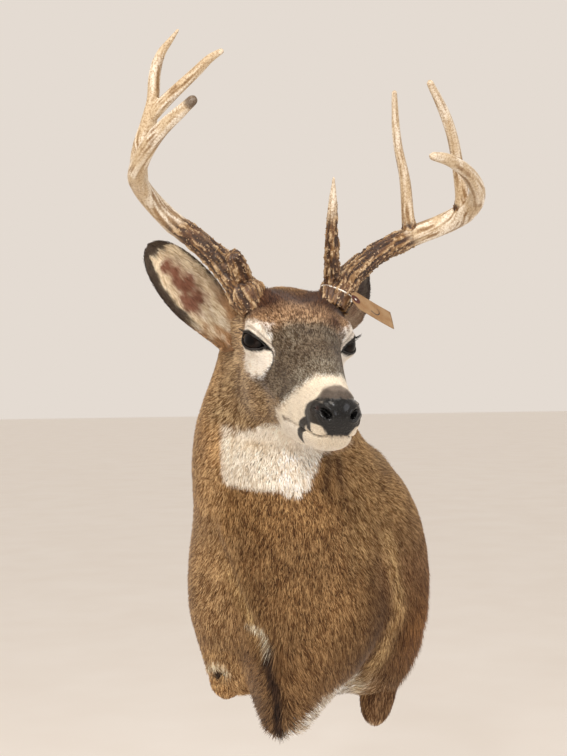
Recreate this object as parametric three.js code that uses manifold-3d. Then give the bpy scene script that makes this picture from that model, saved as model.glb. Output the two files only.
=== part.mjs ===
// Whitetail buck shoulder mount: the head, neck and shoulders of a deer on a flat back board.
// Millimetres. +Z is up, +Y runs into the wall and -Y out into the room, +X is the deer's left.
// The origin lies on the wall, on the back face of the board. Surfaces reach the tips of the coat.
import * as THREE from 'three';
import { mergeVertices } from 'three/addons/utils/BufferGeometryUtils.js';
import Module from 'manifold-3d';

const wasm = await Module();
wasm.setup();
const degrees = THREE.MathUtils.degToRad;

// ---------------------------------------------------------------- driving dimensions

const GAP = 0.3; // left between pieces that touch
const BOARD = { thickness: 12, halfWidth: 112, height: 270, centreZ: 12, corner: 70 };

// The head's own frame starts midway between the eyes: x forward, y to the deer's left, z up.
const HEAD = { origin: [-9, -287, 314], yaw: 12, pitch: 21, roll: -3 };
const SHOULDER_YAW = -11; // the chest is turned to the deer's right

// Sections of the head from poll to nose: place, top and bottom, half width, height of the widest
// line, and how square the section is below that line.
const HEAD_SECTIONS = [
  { at: -125, top: 11, bottom: -88, half: 52, widest: -15, jaw: 1.9 },
  { at: -100, top: 34, bottom: -108, half: 59, widest: -8, jaw: 1.9 },
  { at: -70, top: 48, bottom: -118, half: 62, widest: -4, jaw: 1.9 },
  { at: -35, top: 50, bottom: -121, half: 63, widest: -2, jaw: 1.9 },
  { at: 0, top: 44, bottom: -116, half: 57, widest: -6, jaw: 1.9 },
  { at: 50, top: 33, bottom: -104, half: 43, widest: -24, jaw: 1.9 },
  { at: 90, top: 26, bottom: -92, half: 36, widest: -32, jaw: 2.1 },
  { at: 130, top: 19, bottom: -77, half: 29.5, widest: -34, jaw: 2.3 },
  { at: 165, top: 13, bottom: -63, half: 25, widest: -32, jaw: 2.5 },
  { at: 200, top: 4, bottom: -47, half: 19, widest: -22, jaw: 2.4 },
];
const HEAD_FRONT = 196;
const HEAD_BACK = -122;
const CROWN_EXPONENT = 2.3; // above the widest line the sections are a little square

// Swellings of the head, each on both sides where its y isn't 0: centre and radii.
const HEAD_SWELLINGS = [
  { centre: [-14, 47, 14], radii: [30, 17, 18] }, // brow
  { centre: [-24, 38, -56], radii: [50, 22, 46] }, // jaw muscle
  { centre: [-60, 44, 30], radii: [22, 22, 23] }, // pedicle of the antler
  { centre: [180, 0, -15], radii: [26, 21, 23] }, // nose pad
  { centre: [180, 13, -20], radii: [20, 12, 14] }, // nostril wing
  { centre: [162, 0, -46], radii: [23, 20, 16] }, // chin
];

// Level sections of the neck and the keel of the chest, from below: height, then the four edges.
const NECK_SECTIONS = [
  { at: -175, left: -46, right: -36, front: -243, back: -225 },
  { at: -160, left: -62, right: -6, front: -252, back: -170 },
  { at: -130, left: -78, right: 28, front: -268, back: -80 },
  { at: -90, left: -94, right: 74, front: -281, back: 0 },
  { at: -45, left: -112, right: 108, front: -286, back: 50 },
  { at: 0, left: -132, right: 122, front: -283, back: 60 },
  { at: 82, left: -153, right: 116, front: -268, back: 60 },
  { at: 157, left: -157, right: 98, front: -246, back: 20 },
  { at: 190, left: -153, right: 78, front: -238, back: -14 },
  { at: 223, left: -147, right: 62, front: -235, back: -44 },
  { at: 283, left: -123, right: 47, front: -236, back: -97 },
  { at: 350, left: -96, right: 34, front: -236, back: -148 },
  { at: 390, left: -50, right: -5, front: -218, back: -185 },
];
const NECK_TOP = 392;
const KEEL_TIP = -176;

// The trunk behind the neck: centre, radii and how square it is.
const BARREL = { centre: [0, 20, 14], radii: [156, 215, 184], exponent: 2.6 };
const SHOULDERS = [
  { centre: [-88, -105, -5], radii: [77, 98, 122] },
  { centre: [88, -85, 8], radii: [76, 112, 142] },
  { centre: [-100, -110, -98], radii: [34, 40, 48] },
  { centre: [92, -98, -105], radii: [34, 42, 52] },
];
const BLEND = { neck: 34, trunk: 30, shoulder: 30, head: 12 }; // fillets where pieces join
const ROUNDING = { nose: 14, poll: 30, neckTop: 20, keelTip: 10 }; // rounded edges of the cut ends

// Leg stubs: where each leaves the shoulder and where it is cut off, with the radius there.
const LEG_STUBS = {
  leg_stub_right: { from: [-106, -110, -76], to: [-112, -118, -128], radii: [33, 26] },
  leg_stub_left: { from: [101, -98, -86], to: [88, -105, -174], radii: [35, 23] },
};
const STUB_END = { reach: 0.75, radius: 0.7, tip: 0.25 }; // shares of the radius where it is cut off
const STUB_SIDES = 16;

// The surface is drawn by rings across a spine that runs from the nose back over the poll and down.
const PIVOT = { forward: 74, below: 147.5 }; // the rings at the throat fan out from this line
const FAN = 90 + HEAD.pitch; // degrees from across the head to level
const FAN_REACH = { start: 121.5, end: 185, aside: -14 }; // how far from the pivot line rays start
const NOSE_CENTRE = { forward: 170, up: -22 }; // the rounded nose is drawn from here
const MUZZLE = { front: 186, rootUp: -26 };
const TRUNK_CENTRE = { x: -6, y: -128, floor: -60 }; // the rounded underside is drawn from its floor
const COLUMNS = 36;
const NOSE_LEANS = [78, 64, 50, 36, 22, 10];
const TRUNK_LEANS = [10, 20, 30, 40, 50, 60, 70, 80];
const RING_COUNTS = { muzzle: 8, headFan: 11, neckFan: 6, neck: 4, trunk: 7 };
const SPLITS = { headToNeck: 62, neckToTrunk: 80 }; // fan degrees, and height

const EYE = { centre: [-4, 51, 2.5], radius: 18.5 };
const NOSTRIL = { centre: [196, 16, -12], radii: [12, 5, 6.5], turn: 25 };

// Each ear is a cupped leaf: root and tip in the head's frame, and the way its hollow side faces.
const EARS = {
  ear_right: { root: [-69, -55, -29], tip: [-201, -168, 64], faces: [0.76, -0.45, 0.47], halfWidth: 35 },
  ear_left: { root: [-67, 50, 5], tip: [-212, 137, 36], faces: [0.45, 0.85, 0.3], halfWidth: 30 },
};
const EAR = {
  thickness: 7, thinnestEdge: 0.2, rootWidth: 0.6, widestAt: 0.5, tipRoundness: 2.2, rootCup: 78, tipCup: 26,
  columns: 20, rows: 13,
};

// Centre lines of the antlers in the head's frame, with the radius at each point as the last value.
const RIGHT_BEAM = [
  [-52, -48, 26, 20], [-60, -58, 40, 21.5], [-68, -71, 55, 17], [-82, -94, 78, 14.7],
  [-94, -128, 103, 13.7], [-101, -153, 118, 13], [-100, -178, 140, 12], [-84, -195, 160, 11.5],
  [-60, -204, 178, 10.6], [-34, -202, 202, 9.9], [-12, -194, 226, 9.1], [7, -183, 246, 7.9],
  [28, -170, 265, 6.7], [41, -160, 279, 5.6],
];
const LEFT_BEAM = [
  [-50, 47, 34, 20], [-58, 54, 48, 21.5], [-68, 63, 62, 18], [-80, 82, 79, 15], [-95, 114, 100, 14.2],
  [-104, 153, 119, 13.5], [-104, 191, 137, 13.5], [-90, 212, 155, 13.5], [-64, 216, 175, 11.2],
  [-36, 206, 196, 9.7], [-14, 187, 214, 8.9], [7, 163, 229, 7.8], [23, 140, 238, 6.8],
  [37, 117, 242, 5],
];
const RIGHT_SECOND_TINE = [
  [-84, -195, 158, 9], [-73, -201, 186, 10.5], [-66, -200, 212, 10.4], [-65, -194, 239, 9.4],
  [-66, -191, 266, 7.2], [-66, -191, 292, 6.7], [-62, -187, 314, 5.3], [-48, -171, 344, 1.8],
];
const FORK = 7; // the point where each beam turns forward, and where it is divided
const BEAM_END = 13;
const FORK_SLOT = 0.012; // share of a span that leaves GAP between the two pieces of a beam

// Each piece: its centre line, the span of that line it takes, and the lines it is trimmed by.
const ANTLERS = {
  antler_right_beam_lower: { line: RIGHT_BEAM, span: [0, FORK] },
  antler_right_beam_end: { line: RIGHT_BEAM, span: [FORK + FORK_SLOT, BEAM_END], tip: 3.4 },
  antler_right_g1: {
    line: [[-66, -64, 52, 14], [-56, -70, 70, 14], [-47, -79, 88, 13], [-40, -87, 100, 11.5]],
    trimmedBy: [RIGHT_BEAM],
  },
  antler_right_g2: { line: RIGHT_SECOND_TINE, trimmedBy: [RIGHT_BEAM], tip: 1.5 },
  antler_right_g3: {
    line: [
      [-64, -196, 236, 5], [-58, -185, 256, 7.3], [-52, -173, 272, 7], [-40, -149, 301, 6],
      [-30, -135, 319, 5], [-22, -125, 328, 3.4],
    ],
    trimmedBy: [RIGHT_SECOND_TINE, RIGHT_BEAM],
    tip: 2.4,
  },
  antler_left_beam_lower: { line: LEFT_BEAM, span: [0, FORK] },
  antler_left_beam_end: { line: LEFT_BEAM, span: [FORK + FORK_SLOT, BEAM_END], tip: 3 },
  antler_left_g1: {
    line: [
      [-62, 50, 50, 11], [-56, 43, 78, 10], [-50, 38, 104, 8.6], [-44, 32, 138, 7.2],
      [-38, 28, 168, 5.4], [-30, 23, 198, 1.4],
    ],
    trimmedBy: [LEFT_BEAM],
    tip: 1.4,
  },
  antler_left_g2: {
    line: [
      [-104, 154, 116, 11], [-106, 147, 146, 8.3], [-106, 136, 191, 6.9], [-102, 121, 228, 5.8],
      [-97, 111, 258, 5], [-89, 101, 297, 3.4],
    ],
    trimmedBy: [LEFT_BEAM],
    tip: 2.4,
  },
  antler_left_g3: {
    line: [
      [-90, 212, 152, 11], [-82, 206, 180, 8.9], [-78, 192, 219, 7.4], [-72, 177, 253, 6.7],
      [-65, 161, 279, 6.3], [-51, 131, 315, 4.2],
    ],
    trimmedBy: [LEFT_BEAM],
    tip: 2.8,
  },
};
const ANTLER_SIDES = 10;
const FIRST_SIDE = [0.31, 0.17, 0.93]; // no limb runs this way, so its rings can be turned from it
const RINGS_PER_POINT = 2;

// A paper tag hangs by a string from the root of the left antler.
const TAG = { length: 66, width: 34, thickness: 0.6, clip: 9, holeInset: 6.5, holeRadius: 3.4 };
const TAG_HOLE = [-33, 71, 51.5];
const TAG_ALONG = [-0.11, 0.87, -0.43];
const TAG_ACROSS = [0.91, 0.02, -0.42];
const STRING = {
  radius: 0.8, loopRadius: 22.8, loopCentre: [-59, 55.2, 50.4], loopAxis: [-0.46, 0.48, 1],
  sides: 5, loopSteps: 26, linkSides: 6,
};

// ---------------------------------------------------------------- frames and small helpers

const headFrame = new THREE.Group();
headFrame.position.set(...HEAD.origin);
headFrame.rotation.set(degrees(HEAD.roll), degrees(HEAD.pitch), degrees(HEAD.yaw - 90), 'ZYX');
headFrame.updateMatrixWorld();

const toHead = (point) => headFrame.worldToLocal(point.clone());
const toWorld = (point) => headFrame.localToWorld(point.clone());
const vector = (values) => new THREE.Vector3(...values);
const smooth = (x) => THREE.MathUtils.smoothstep(x, 0, 1);

/** A smooth curve through the values of `key`, by the place of each section. */
function profile(sections, key) {
  const slope = (i) => {
    const before = sections[Math.max(i - 1, 0)];
    const after = sections[Math.min(i + 1, sections.length - 1)];
    return (after[key] - before[key]) / (after.at - before.at);
  };
  return (at) => {
    const place = THREE.MathUtils.clamp(at, sections[0].at, sections.at(-1).at);
    const i = Math.max(0, Math.min(sections.length - 2, sections.findIndex((s) => s.at > place) - 1));
    const last = place >= sections.at(-1).at;
    const a = last ? sections.length - 2 : i;
    const span = sections[a + 1].at - sections[a].at;
    const t = (place - sections[a].at) / span;
    const [t2, t3] = [t * t, t * t * t];
    return (
      (2 * t3 - 3 * t2 + 1) * sections[a][key] + (t3 - 2 * t2 + t) * span * slope(a) +
      (3 * t2 - 2 * t3) * sections[a + 1][key] + (t3 - t2) * span * slope(a + 1)
    );
  };
}

/** Joins two distances with a fillet about as wide as `blend`. */
function join(a, b, blend) {
  const overlap = Math.max(blend - Math.abs(a - b), 0) / blend;
  return Math.min(a, b) - (overlap * overlap * blend) / 4;
}

const trim = (a, b, blend) => -join(-a, -b, blend);

/** Distance from an ellipsoid, or from a squarer body with a larger exponent. */
function swelling(x, y, z, { centre, radii, exponent = 2 }) {
  const parts = [x - centre[0], y - centre[1], z - centre[2]].map((v, i) => Math.abs(v / radii[i]));
  const size = (parts[0] ** exponent + parts[1] ** exponent + parts[2] ** exponent) ** (1 / exponent);
  const steep = Math.hypot(parts[0] / radii[0], parts[1] / radii[1], parts[2] / radii[2]);
  return steep > 0 ? ((size - 1) * Math.hypot(...parts)) / steep : -Math.min(...radii);
}

// ---------------------------------------------------------------- the body as one smooth field

const headTop = profile(HEAD_SECTIONS, 'top');
const headBottom = profile(HEAD_SECTIONS, 'bottom');
const headHalf = profile(HEAD_SECTIONS, 'half');
const headWidest = profile(HEAD_SECTIONS, 'widest');
const headJaw = profile(HEAD_SECTIONS, 'jaw');

function headDistance(x, y, z) {
  const [half, widest] = [headHalf(x), headWidest(x)];
  const upper = z > widest;
  const height = upper ? headTop(x) - widest : widest - headBottom(x);
  const exponent = upper ? CROWN_EXPONENT : headJaw(x);
  const [out, up] = [Math.abs(y / half), Math.abs((z - widest) / height)];
  const size = (out ** exponent + up ** exponent) ** (1 / exponent);
  let distance = (size - 1) * Math.min(half, height);
  distance = trim(distance, x - HEAD_FRONT, ROUNDING.nose);
  distance = trim(distance, HEAD_BACK - x, ROUNDING.poll);
  for (const part of HEAD_SWELLINGS) {
    const side = part.centre[1] ? Math.abs(y) : y;
    distance = join(distance, swelling(x, side, z, part), BLEND.head);
  }
  return distance;
}

const neckEdge = Object.fromEntries(
  ['left', 'right', 'front', 'back'].map((key) => [key, profile(NECK_SECTIONS, key)]),
);

function neckDistance(x, y, z) {
  const [left, right, front, back] = Object.values(neckEdge).map((edge) => edge(z));
  const [halfX, halfY] = [(right - left) / 2, (back - front) / 2];
  const size = Math.hypot((x - (left + right) / 2) / halfX, (y - (front + back) / 2) / halfY);
  const side = (size - 1) * Math.min(halfX, halfY);
  return trim(trim(side, z - NECK_TOP, ROUNDING.neckTop), KEEL_TIP - z, ROUNDING.keelTip);
}

function bodyDistance(point) {
  const { x, y, z } = point;
  let distance = join(neckDistance(x, y, z), swelling(x, y, z, BARREL), BLEND.trunk);
  for (const part of SHOULDERS) {
    distance = join(distance, swelling(x, y, z, part), BLEND.shoulder);
  }
  const head = toHead(point);
  return join(distance, headDistance(head.x, head.y, head.z), BLEND.neck);
}

// ---------------------------------------------------------------- rings along the spine

const across = new THREE.Vector3(Math.cos(degrees(HEAD.yaw)), Math.sin(degrees(HEAD.yaw)), 0);
const forward = toWorld(new THREE.Vector3(1, 0, 0)).sub(headFrame.position);
const upright = new THREE.Vector3().crossVectors(forward, across).normalize();
const pivotPoint = toWorld(new THREE.Vector3(PIVOT.forward, 0, -PIVOT.below));
const down = new THREE.Vector3(0, 0, -1);

// Each ring: where its rays start, the direction of column 0, the direction of a quarter turn,
// and, on the rounded ends, the axis that its rays lean towards and by how much.
function noseRing(lean) {
  const origin = toWorld(new THREE.Vector3(NOSE_CENTRE.forward, 0, NOSE_CENTRE.up));
  return { origin, top: upright, side: across, axis: forward, lean: degrees(lean) };
}

function muzzleRing(at) {
  const share = (NOSE_CENTRE.forward - at) / (NOSE_CENTRE.forward - PIVOT.forward);
  const rise = THREE.MathUtils.lerp(NOSE_CENTRE.up, MUZZLE.rootUp, share);
  const origin = toWorld(new THREE.Vector3(at, 0, rise));
  return { origin, top: upright, side: across, axis: forward, lean: 0 };
}

function fanRing(turn) {
  const top = upright.clone().applyAxisAngle(across, -degrees(turn));
  const share = turn / FAN;
  const origin = pivotPoint.clone()
    .addScaledVector(top, THREE.MathUtils.lerp(FAN_REACH.start, FAN_REACH.end, share))
    .addScaledVector(across, FAN_REACH.aside * smooth(share));
  return { origin, top, side: across, axis: forward, lean: 0 };
}

const fanEnd = fanRing(FAN);

function trunkRing(height, lean = 0) {
  const share = smooth((fanEnd.origin.z - height) / (fanEnd.origin.z - TRUNK_CENTRE.floor));
  const turn = degrees(THREE.MathUtils.lerp(HEAD.yaw, SHOULDER_YAW, share));
  const origin = new THREE.Vector3(
    THREE.MathUtils.lerp(fanEnd.origin.x, TRUNK_CENTRE.x, share),
    THREE.MathUtils.lerp(fanEnd.origin.y, TRUNK_CENTRE.y, share),
    height,
  );
  const side = new THREE.Vector3(Math.cos(turn), Math.sin(turn), 0);
  const top = new THREE.Vector3(-Math.sin(turn), Math.cos(turn), 0);
  return { origin, top, side, axis: down, lean: degrees(lean) };
}

const MARCH = 6; // step outwards along a ray
const HALVINGS = 14;

/** The point where a ray from inside the body leaves it, pushed out by `grow`. */
function surfacePoint(ring, column, grow) {
  const angle = (column / COLUMNS) * Math.PI * 2;
  const level = new THREE.Vector3()
    .addScaledVector(ring.top, Math.cos(angle))
    .addScaledVector(ring.side, -Math.sin(angle));
  const ray = level.multiplyScalar(Math.cos(ring.lean)).addScaledVector(ring.axis, Math.sin(ring.lean));
  const at = (distance) => ring.origin.clone().addScaledVector(ray, distance);
  let [near, far] = [0, MARCH];
  while (bodyDistance(at(far)) < grow) {
    [near, far] = [far, far + MARCH];
  }
  for (let i = 0; i < HALVINGS; i += 1) {
    const middle = (near + far) / 2;
    [near, far] = bodyDistance(at(middle)) < grow ? [middle, far] : [near, middle];
  }
  return at((near + far) / 2);
}

const range = (from, to, steps) =>
  Array.from({ length: steps }, (_, i) => THREE.MathUtils.lerp(from, to, (i + 1) / steps));

const headRings = [
  ...NOSE_LEANS.map(noseRing),
  ...range(MUZZLE.front, PIVOT.forward, RING_COUNTS.muzzle).map(muzzleRing),
  ...range(0, SPLITS.headToNeck, RING_COUNTS.headFan).map(fanRing),
];
const neckRings = [
  ...range(SPLITS.headToNeck, FAN, RING_COUNTS.neckFan).map(fanRing),
  ...range(fanEnd.origin.z, SPLITS.neckToTrunk, RING_COUNTS.neck).map((z) => trunkRing(z)),
];
const trunkRings = [
  ...range(SPLITS.neckToTrunk, TRUNK_CENTRE.floor, RING_COUNTS.trunk).map((z) => trunkRing(z)),
  ...TRUNK_LEANS.map((lean) => trunkRing(TRUNK_CENTRE.floor, lean)),
];

/** A ring set back a little along its own normal, so that two pieces end clear of each other. */
function setBack(ring, amount) {
  const normal = new THREE.Vector3().crossVectors(ring.top, ring.side).normalize();
  return { ...ring, origin: ring.origin.clone().addScaledVector(normal, amount) };
}

// ---------------------------------------------------------------- solids

/** Merges shared points, so that the mesh is one closed body. */
function weld(geometry) {
  geometry.deleteAttribute('normal');
  geometry.deleteAttribute('uv');
  return mergeVertices(geometry, 1e-3);
}

function toSolid(geometry) {
  const welded = weld(geometry);
  return new wasm.Manifold(
    new wasm.Mesh({
      numProp: 3,
      vertProperties: new Float32Array(welded.getAttribute('position').array),
      triVerts: new Uint32Array(welded.getIndex().array),
    }),
  );
}

function toGeometry(solid) {
  const mesh = solid.getMesh();
  const geometry = new THREE.BufferGeometry();
  geometry.setAttribute('position', new THREE.BufferAttribute(mesh.vertProperties, 3));
  geometry.setIndex(new THREE.BufferAttribute(mesh.triVerts, 1));
  geometry.computeVertexNormals();
  return geometry;
}

/** Moves every point of a sphere's grid to place(row, column). Row 0 and the last row are the poles. */
function movedSphere(columns, rows, place) {
  const geometry = new THREE.SphereGeometry(1, columns, rows);
  const position = geometry.getAttribute('position');
  for (let i = 0; i < position.count; i += 1) {
    const row = Math.floor(i / (columns + 1));
    const point = place(row, i % (columns + 1) % columns);
    position.setXYZ(i, point.x, point.y, point.z);
  }
  return geometry;
}

/** A length of the body between two poles, drawn by its rings. */
function bodySolid(rings, poles, grow = 0) {
  const points = rings.map((ring) =>
    Array.from({ length: COLUMNS }, (_, column) => surfacePoint(ring, column, grow)),
  );
  return toSolid(
    movedSphere(COLUMNS, rings.length + 1, (row, column) => {
      if (row === 0) return poles[0];
      return row > rings.length ? poles[1] : points[row - 1][column];
    }),
  );
}

function headSolid(grow) {
  const last = headRings.at(-1);
  const pole = surfacePoint(noseRing(90), 0, grow);
  return bodySolid(headRings, [pole, last.origin], grow);
}

function neckSolid() {
  const start = setBack(fanRing(SPLITS.headToNeck), GAP);
  return bodySolid([start, ...neckRings], [start.origin, neckRings.at(-1).origin]);
}

function trunkSolid(grow = 0) {
  const start = setBack(trunkRing(SPLITS.neckToTrunk), GAP);
  const pole = surfacePoint(trunkRing(TRUNK_CENTRE.floor, 90), 0, grow);
  return bodySolid([start, ...trunkRings], [start.origin, pole], grow);
}

/** Everything behind the board's front face, for cutting the back of the mount flat. */
function wallSolid() {
  const size = 1000;
  const block = new THREE.BoxGeometry(size, size, size);
  block.translate(0, size / 2 - BOARD.thickness - GAP, 0);
  return toSolid(block);
}

function ellipsoidSolid({ centre, radii, turn = 0 }, side, segments = 14) {
  const geometry = new THREE.SphereGeometry(1, segments, Math.round(segments * 0.7));
  geometry.scale(...radii);
  geometry.rotateZ(degrees(turn) * side);
  geometry.translate(centre[0], centre[1] * side, centre[2]);
  return toSolid(geometry);
}

/** A round limb along a span of the curve through [x, y, z, radius] points, flat or pointed at its end. */
function limbSolid(points, { grow = 0, sides = ANTLER_SIDES, tip = 0, span = [0, points.length - 1] } = {}) {
  const curve = new THREE.CatmullRomCurve3(points.map((p) => vector(p.slice(0, 3))), false, 'centripetal');
  const radii = profile(points.map((p, i) => ({ at: i, radius: p[3] })), 'radius');
  const step = 1 / RINGS_PER_POINT;
  let normal = vector(FIRST_SIDE);
  const frames = [];
  for (let ring = 0; ring <= span[1]; ring += step) {
    const place = Math.max(ring, span[0]);
    const along = place / (points.length - 1);
    const tangent = curve.getTangent(ring / (points.length - 1));
    normal = normal.clone().addScaledVector(tangent, -normal.dot(tangent)).normalize();
    const binormal = new THREE.Vector3().crossVectors(tangent, normal);
    if (ring > span[0] - step) {
      frames.push({ centre: curve.getPoint(along), tangent, normal, binormal, radius: radii(place) + grow });
    }
  }
  const rings = frames.length - 1;
  const last = frames.at(-1);
  const end = last.centre.clone().addScaledVector(last.tangent, tip);
  return toSolid(
    movedSphere(sides, rings + 2, (row, column) => {
      if (row === 0) return frames[0].centre;
      if (row > rings + 1) return end;
      const { centre, normal: side, binormal, radius } = frames[row - 1];
      const angle = (-column / sides) * Math.PI * 2;
      return centre.clone()
        .addScaledVector(side, Math.cos(angle) * radius)
        .addScaledVector(binormal, Math.sin(angle) * radius);
    }),
  );
}

/** A cupped leaf from root to tip: outer side first, then back along the hollow side. */
function earSolid({ root, tip, faces, halfWidth }) {
  const { columns, rows } = EAR;
  const start = vector(root);
  const axis = vector(tip).sub(start);
  const length = axis.length();
  axis.normalize();
  const facing = vector(faces);
  facing.addScaledVector(axis, -facing.dot(axis)).normalize();
  const side = new THREE.Vector3().crossVectors(axis, facing);
  const half = (s) => {
    const rising = THREE.MathUtils.lerp(EAR.rootWidth, 1, smooth(s / EAR.widestAt));
    const past = Math.max(s - EAR.widestAt, 0) / (1 - EAR.widestAt);
    return halfWidth * rising * Math.sqrt(Math.max(1 - past ** EAR.tipRoundness, 0));
  };
  return toSolid(
    movedSphere(columns, rows, (row, column) => {
      const s = Math.sin((row / rows) * Math.PI * 0.5) ** 0.9;
      const spine = start.clone().addScaledVector(axis, s * length);
      if (row === 0 || row === rows) return spine;
      const cup = degrees(THREE.MathUtils.lerp(EAR.rootCup, EAR.tipCup, s));
      const bend = half(s) / Math.sin(cup);
      const outer = column < columns / 2;
      const sweep = outer ? (2 * column) / (columns / 2) - 1 : 3 - (2 * column) / (columns / 2);
      const edge = Math.max(Math.sqrt(1 - sweep ** 4), EAR.thinnestEdge);
      const reach = bend + (outer ? 0.5 : -0.5) * EAR.thickness * edge;
      return spine
        .addScaledVector(side, Math.sin(cup * sweep) * reach)
        .addScaledVector(facing, bend - Math.cos(cup * sweep) * reach);
    }),
  );
}

/** The flat tag, with two clipped corners and a hole for its string. */
function tagSolid() {
  const [half, start, end] = [TAG.width / 2, -TAG.holeInset, TAG.length - TAG.holeInset];
  const outline = new THREE.Shape([
    new THREE.Vector2(start, -half + TAG.clip), new THREE.Vector2(start + TAG.clip, -half),
    new THREE.Vector2(end, -half), new THREE.Vector2(end, half),
    new THREE.Vector2(start + TAG.clip, half), new THREE.Vector2(start, half - TAG.clip),
  ]);
  const hole = new THREE.Path();
  hole.absarc(0, 0, TAG.holeRadius, 0, Math.PI * 2, true);
  outline.holes.push(hole);
  const cut = { depth: TAG.thickness, bevelEnabled: false, curveSegments: 5 };
  const sheet = new THREE.ExtrudeGeometry(outline, cut);
  const along = vector(TAG_ALONG).normalize();
  const normal = new THREE.Vector3().crossVectors(along, vector(TAG_ACROSS)).normalize();
  const width = new THREE.Vector3().crossVectors(normal, along);
  const basis = new THREE.Matrix4().makeBasis(along, width, normal);
  sheet.applyMatrix4(basis.setPosition(...TAG_HOLE));
  return toSolid(sheet);
}

/** The loop of string round the antler, joined to the stretch that runs through the tag's hole. */
function stringSolid() {
  const axis = vector(STRING.loopAxis).normalize();
  const loop = new THREE.TorusGeometry(STRING.loopRadius, STRING.radius, STRING.sides, STRING.loopSteps);
  loop.applyQuaternion(new THREE.Quaternion().setFromUnitVectors(new THREE.Vector3(0, 0, 1), axis));
  loop.translate(...STRING.loopCentre);
  const hole = vector(TAG_HOLE);
  const fromCentre = hole.clone().sub(vector(STRING.loopCentre));
  fromCentre.addScaledVector(axis, -fromCentre.dot(axis)).setLength(STRING.loopRadius);
  const onLoop = vector(STRING.loopCentre).add(fromCentre);
  const beyond = hole.clone().add(hole.clone().sub(onLoop).setLength(1));
  const link = [onLoop, hole, beyond].map((p) => [...p.toArray(), STRING.radius]);
  return toSolid(loop).add(limbSolid(link, { sides: STRING.linkSides }));
}

/** The board: a flat plate with round corners, its back face on the wall. */
function boardGeometry() {
  const { halfWidth, height, corner, centreZ, thickness } = BOARD;
  const outline = new THREE.Shape();
  const [x, z] = [halfWidth - corner, height / 2 - corner];
  outline.absarc(x, z, corner, 0, Math.PI / 2);
  outline.absarc(-x, z, corner, Math.PI / 2, Math.PI);
  outline.absarc(-x, -z, corner, Math.PI, Math.PI * 1.5);
  outline.absarc(x, -z, corner, Math.PI * 1.5, Math.PI * 2);
  const cut = { depth: thickness, bevelEnabled: false, curveSegments: 8 };
  const plate = new THREE.ExtrudeGeometry(outline, cut);
  plate.rotateX(Math.PI / 2);
  plate.translate(0, 0, centreZ);
  return weld(plate);
}

// ---------------------------------------------------------------- assembly

const mount = new THREE.Group();
mount.add(headFrame);

function addMesh(parent, name, geometry, colour, roughness) {
  const material = new THREE.MeshStandardMaterial({ color: colour, roughness, metalness: 0 });
  const mesh = new THREE.Mesh(geometry, material);
  mesh.name = name;
  parent.add(mesh);
}

const COLOURS = {
  coat: '#8d6f50', face: '#8a7a68', ear: '#b9a48c', antler: '#b39a78', eye: '#120d0a',
  board: '#9a7b55', tag: '#c49a68', string: '#e9e4da',
};
const wall = wallSolid();
const intoHead = headFrame.matrixWorld.clone().invert().elements;
const headClearance = headSolid(GAP).transform(intoHead);

function addHead() {
  let head = headSolid(0).transform(intoHead);
  for (const side of [1, -1]) {
    const socket = { centre: EYE.centre, radii: Array(3).fill(EYE.radius + GAP) };
    head = head.subtract(ellipsoidSolid(socket, side, 16)).subtract(ellipsoidSolid(NOSTRIL, side, 10));
  }
  addMesh(headFrame, 'head', toGeometry(head), COLOURS.face, 0.9);
}

function addEyes() {
  for (const [name, side] of [['eye_left', 1], ['eye_right', -1]]) {
    const ball = new THREE.SphereGeometry(EYE.radius - GAP, 13, 8);
    ball.translate(EYE.centre[0], EYE.centre[1] * side, EYE.centre[2]);
    addMesh(headFrame, name, weld(ball), COLOURS.eye, 0.05);
  }
}

function addEars() {
  for (const [name, shape] of Object.entries(EARS)) {
    addMesh(headFrame, name, toGeometry(earSolid(shape).subtract(headClearance)), COLOURS.ear, 0.9);
  }
}

function addAntlers() {
  for (const [name, { line, span, trimmedBy = [], tip }] of Object.entries(ANTLERS)) {
    let piece = limbSolid(line, { span, tip });
    for (const other of trimmedBy) {
      piece = piece.subtract(limbSolid(other, { grow: GAP }));
    }
    addMesh(headFrame, name, toGeometry(piece.subtract(headClearance)), COLOURS.antler, 0.55);
  }
}

function addNeckAndTrunk() {
  const stubs = Object.entries(LEG_STUBS).map(([name, { from, to, radii }]) => {
    const direction = vector(to).sub(vector(from)).normalize();
    const end = vector(to).addScaledVector(direction, radii[1] * STUB_END.reach).toArray();
    const points = [[...from, radii[0]], [...to, radii[1]], [...end, radii[1] * STUB_END.radius]];
    return [name, limbSolid(points, { sides: STUB_SIDES, tip: radii[1] * STUB_END.tip })];
  });
  const clearance = trunkSolid(GAP);
  addMesh(mount, 'neck', toGeometry(neckSolid().subtract(wall)), COLOURS.coat, 0.9);
  addMesh(mount, 'trunk', toGeometry(trunkSolid().subtract(wall)), COLOURS.coat, 0.9);
  for (const [name, stub] of stubs) {
    addMesh(mount, name, toGeometry(stub.subtract(clearance)), COLOURS.coat, 0.9);
  }
}

addHead();
addEyes();
addEars();
addAntlers();
addNeckAndTrunk();
addMesh(headFrame, 'tag', toGeometry(tagSolid()), COLOURS.tag, 0.8);
addMesh(headFrame, 'tag_string', toGeometry(stringSolid()), COLOURS.string, 0.9);
addMesh(mount, 'back_board', boardGeometry(), COLOURS.board, 0.7);

export default mount;
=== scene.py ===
# %% [markdown]
# # A whitetail buck, mounted as head and shoulders
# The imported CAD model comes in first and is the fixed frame: it says where the head, neck, antlers,
# ears, tag and board are. Everything made here is laid over it, in the same metres and the same place.

# %% Frame
import math

import bmesh
import bpy
import numpy as np
from mathutils import Matrix, Vector


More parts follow.
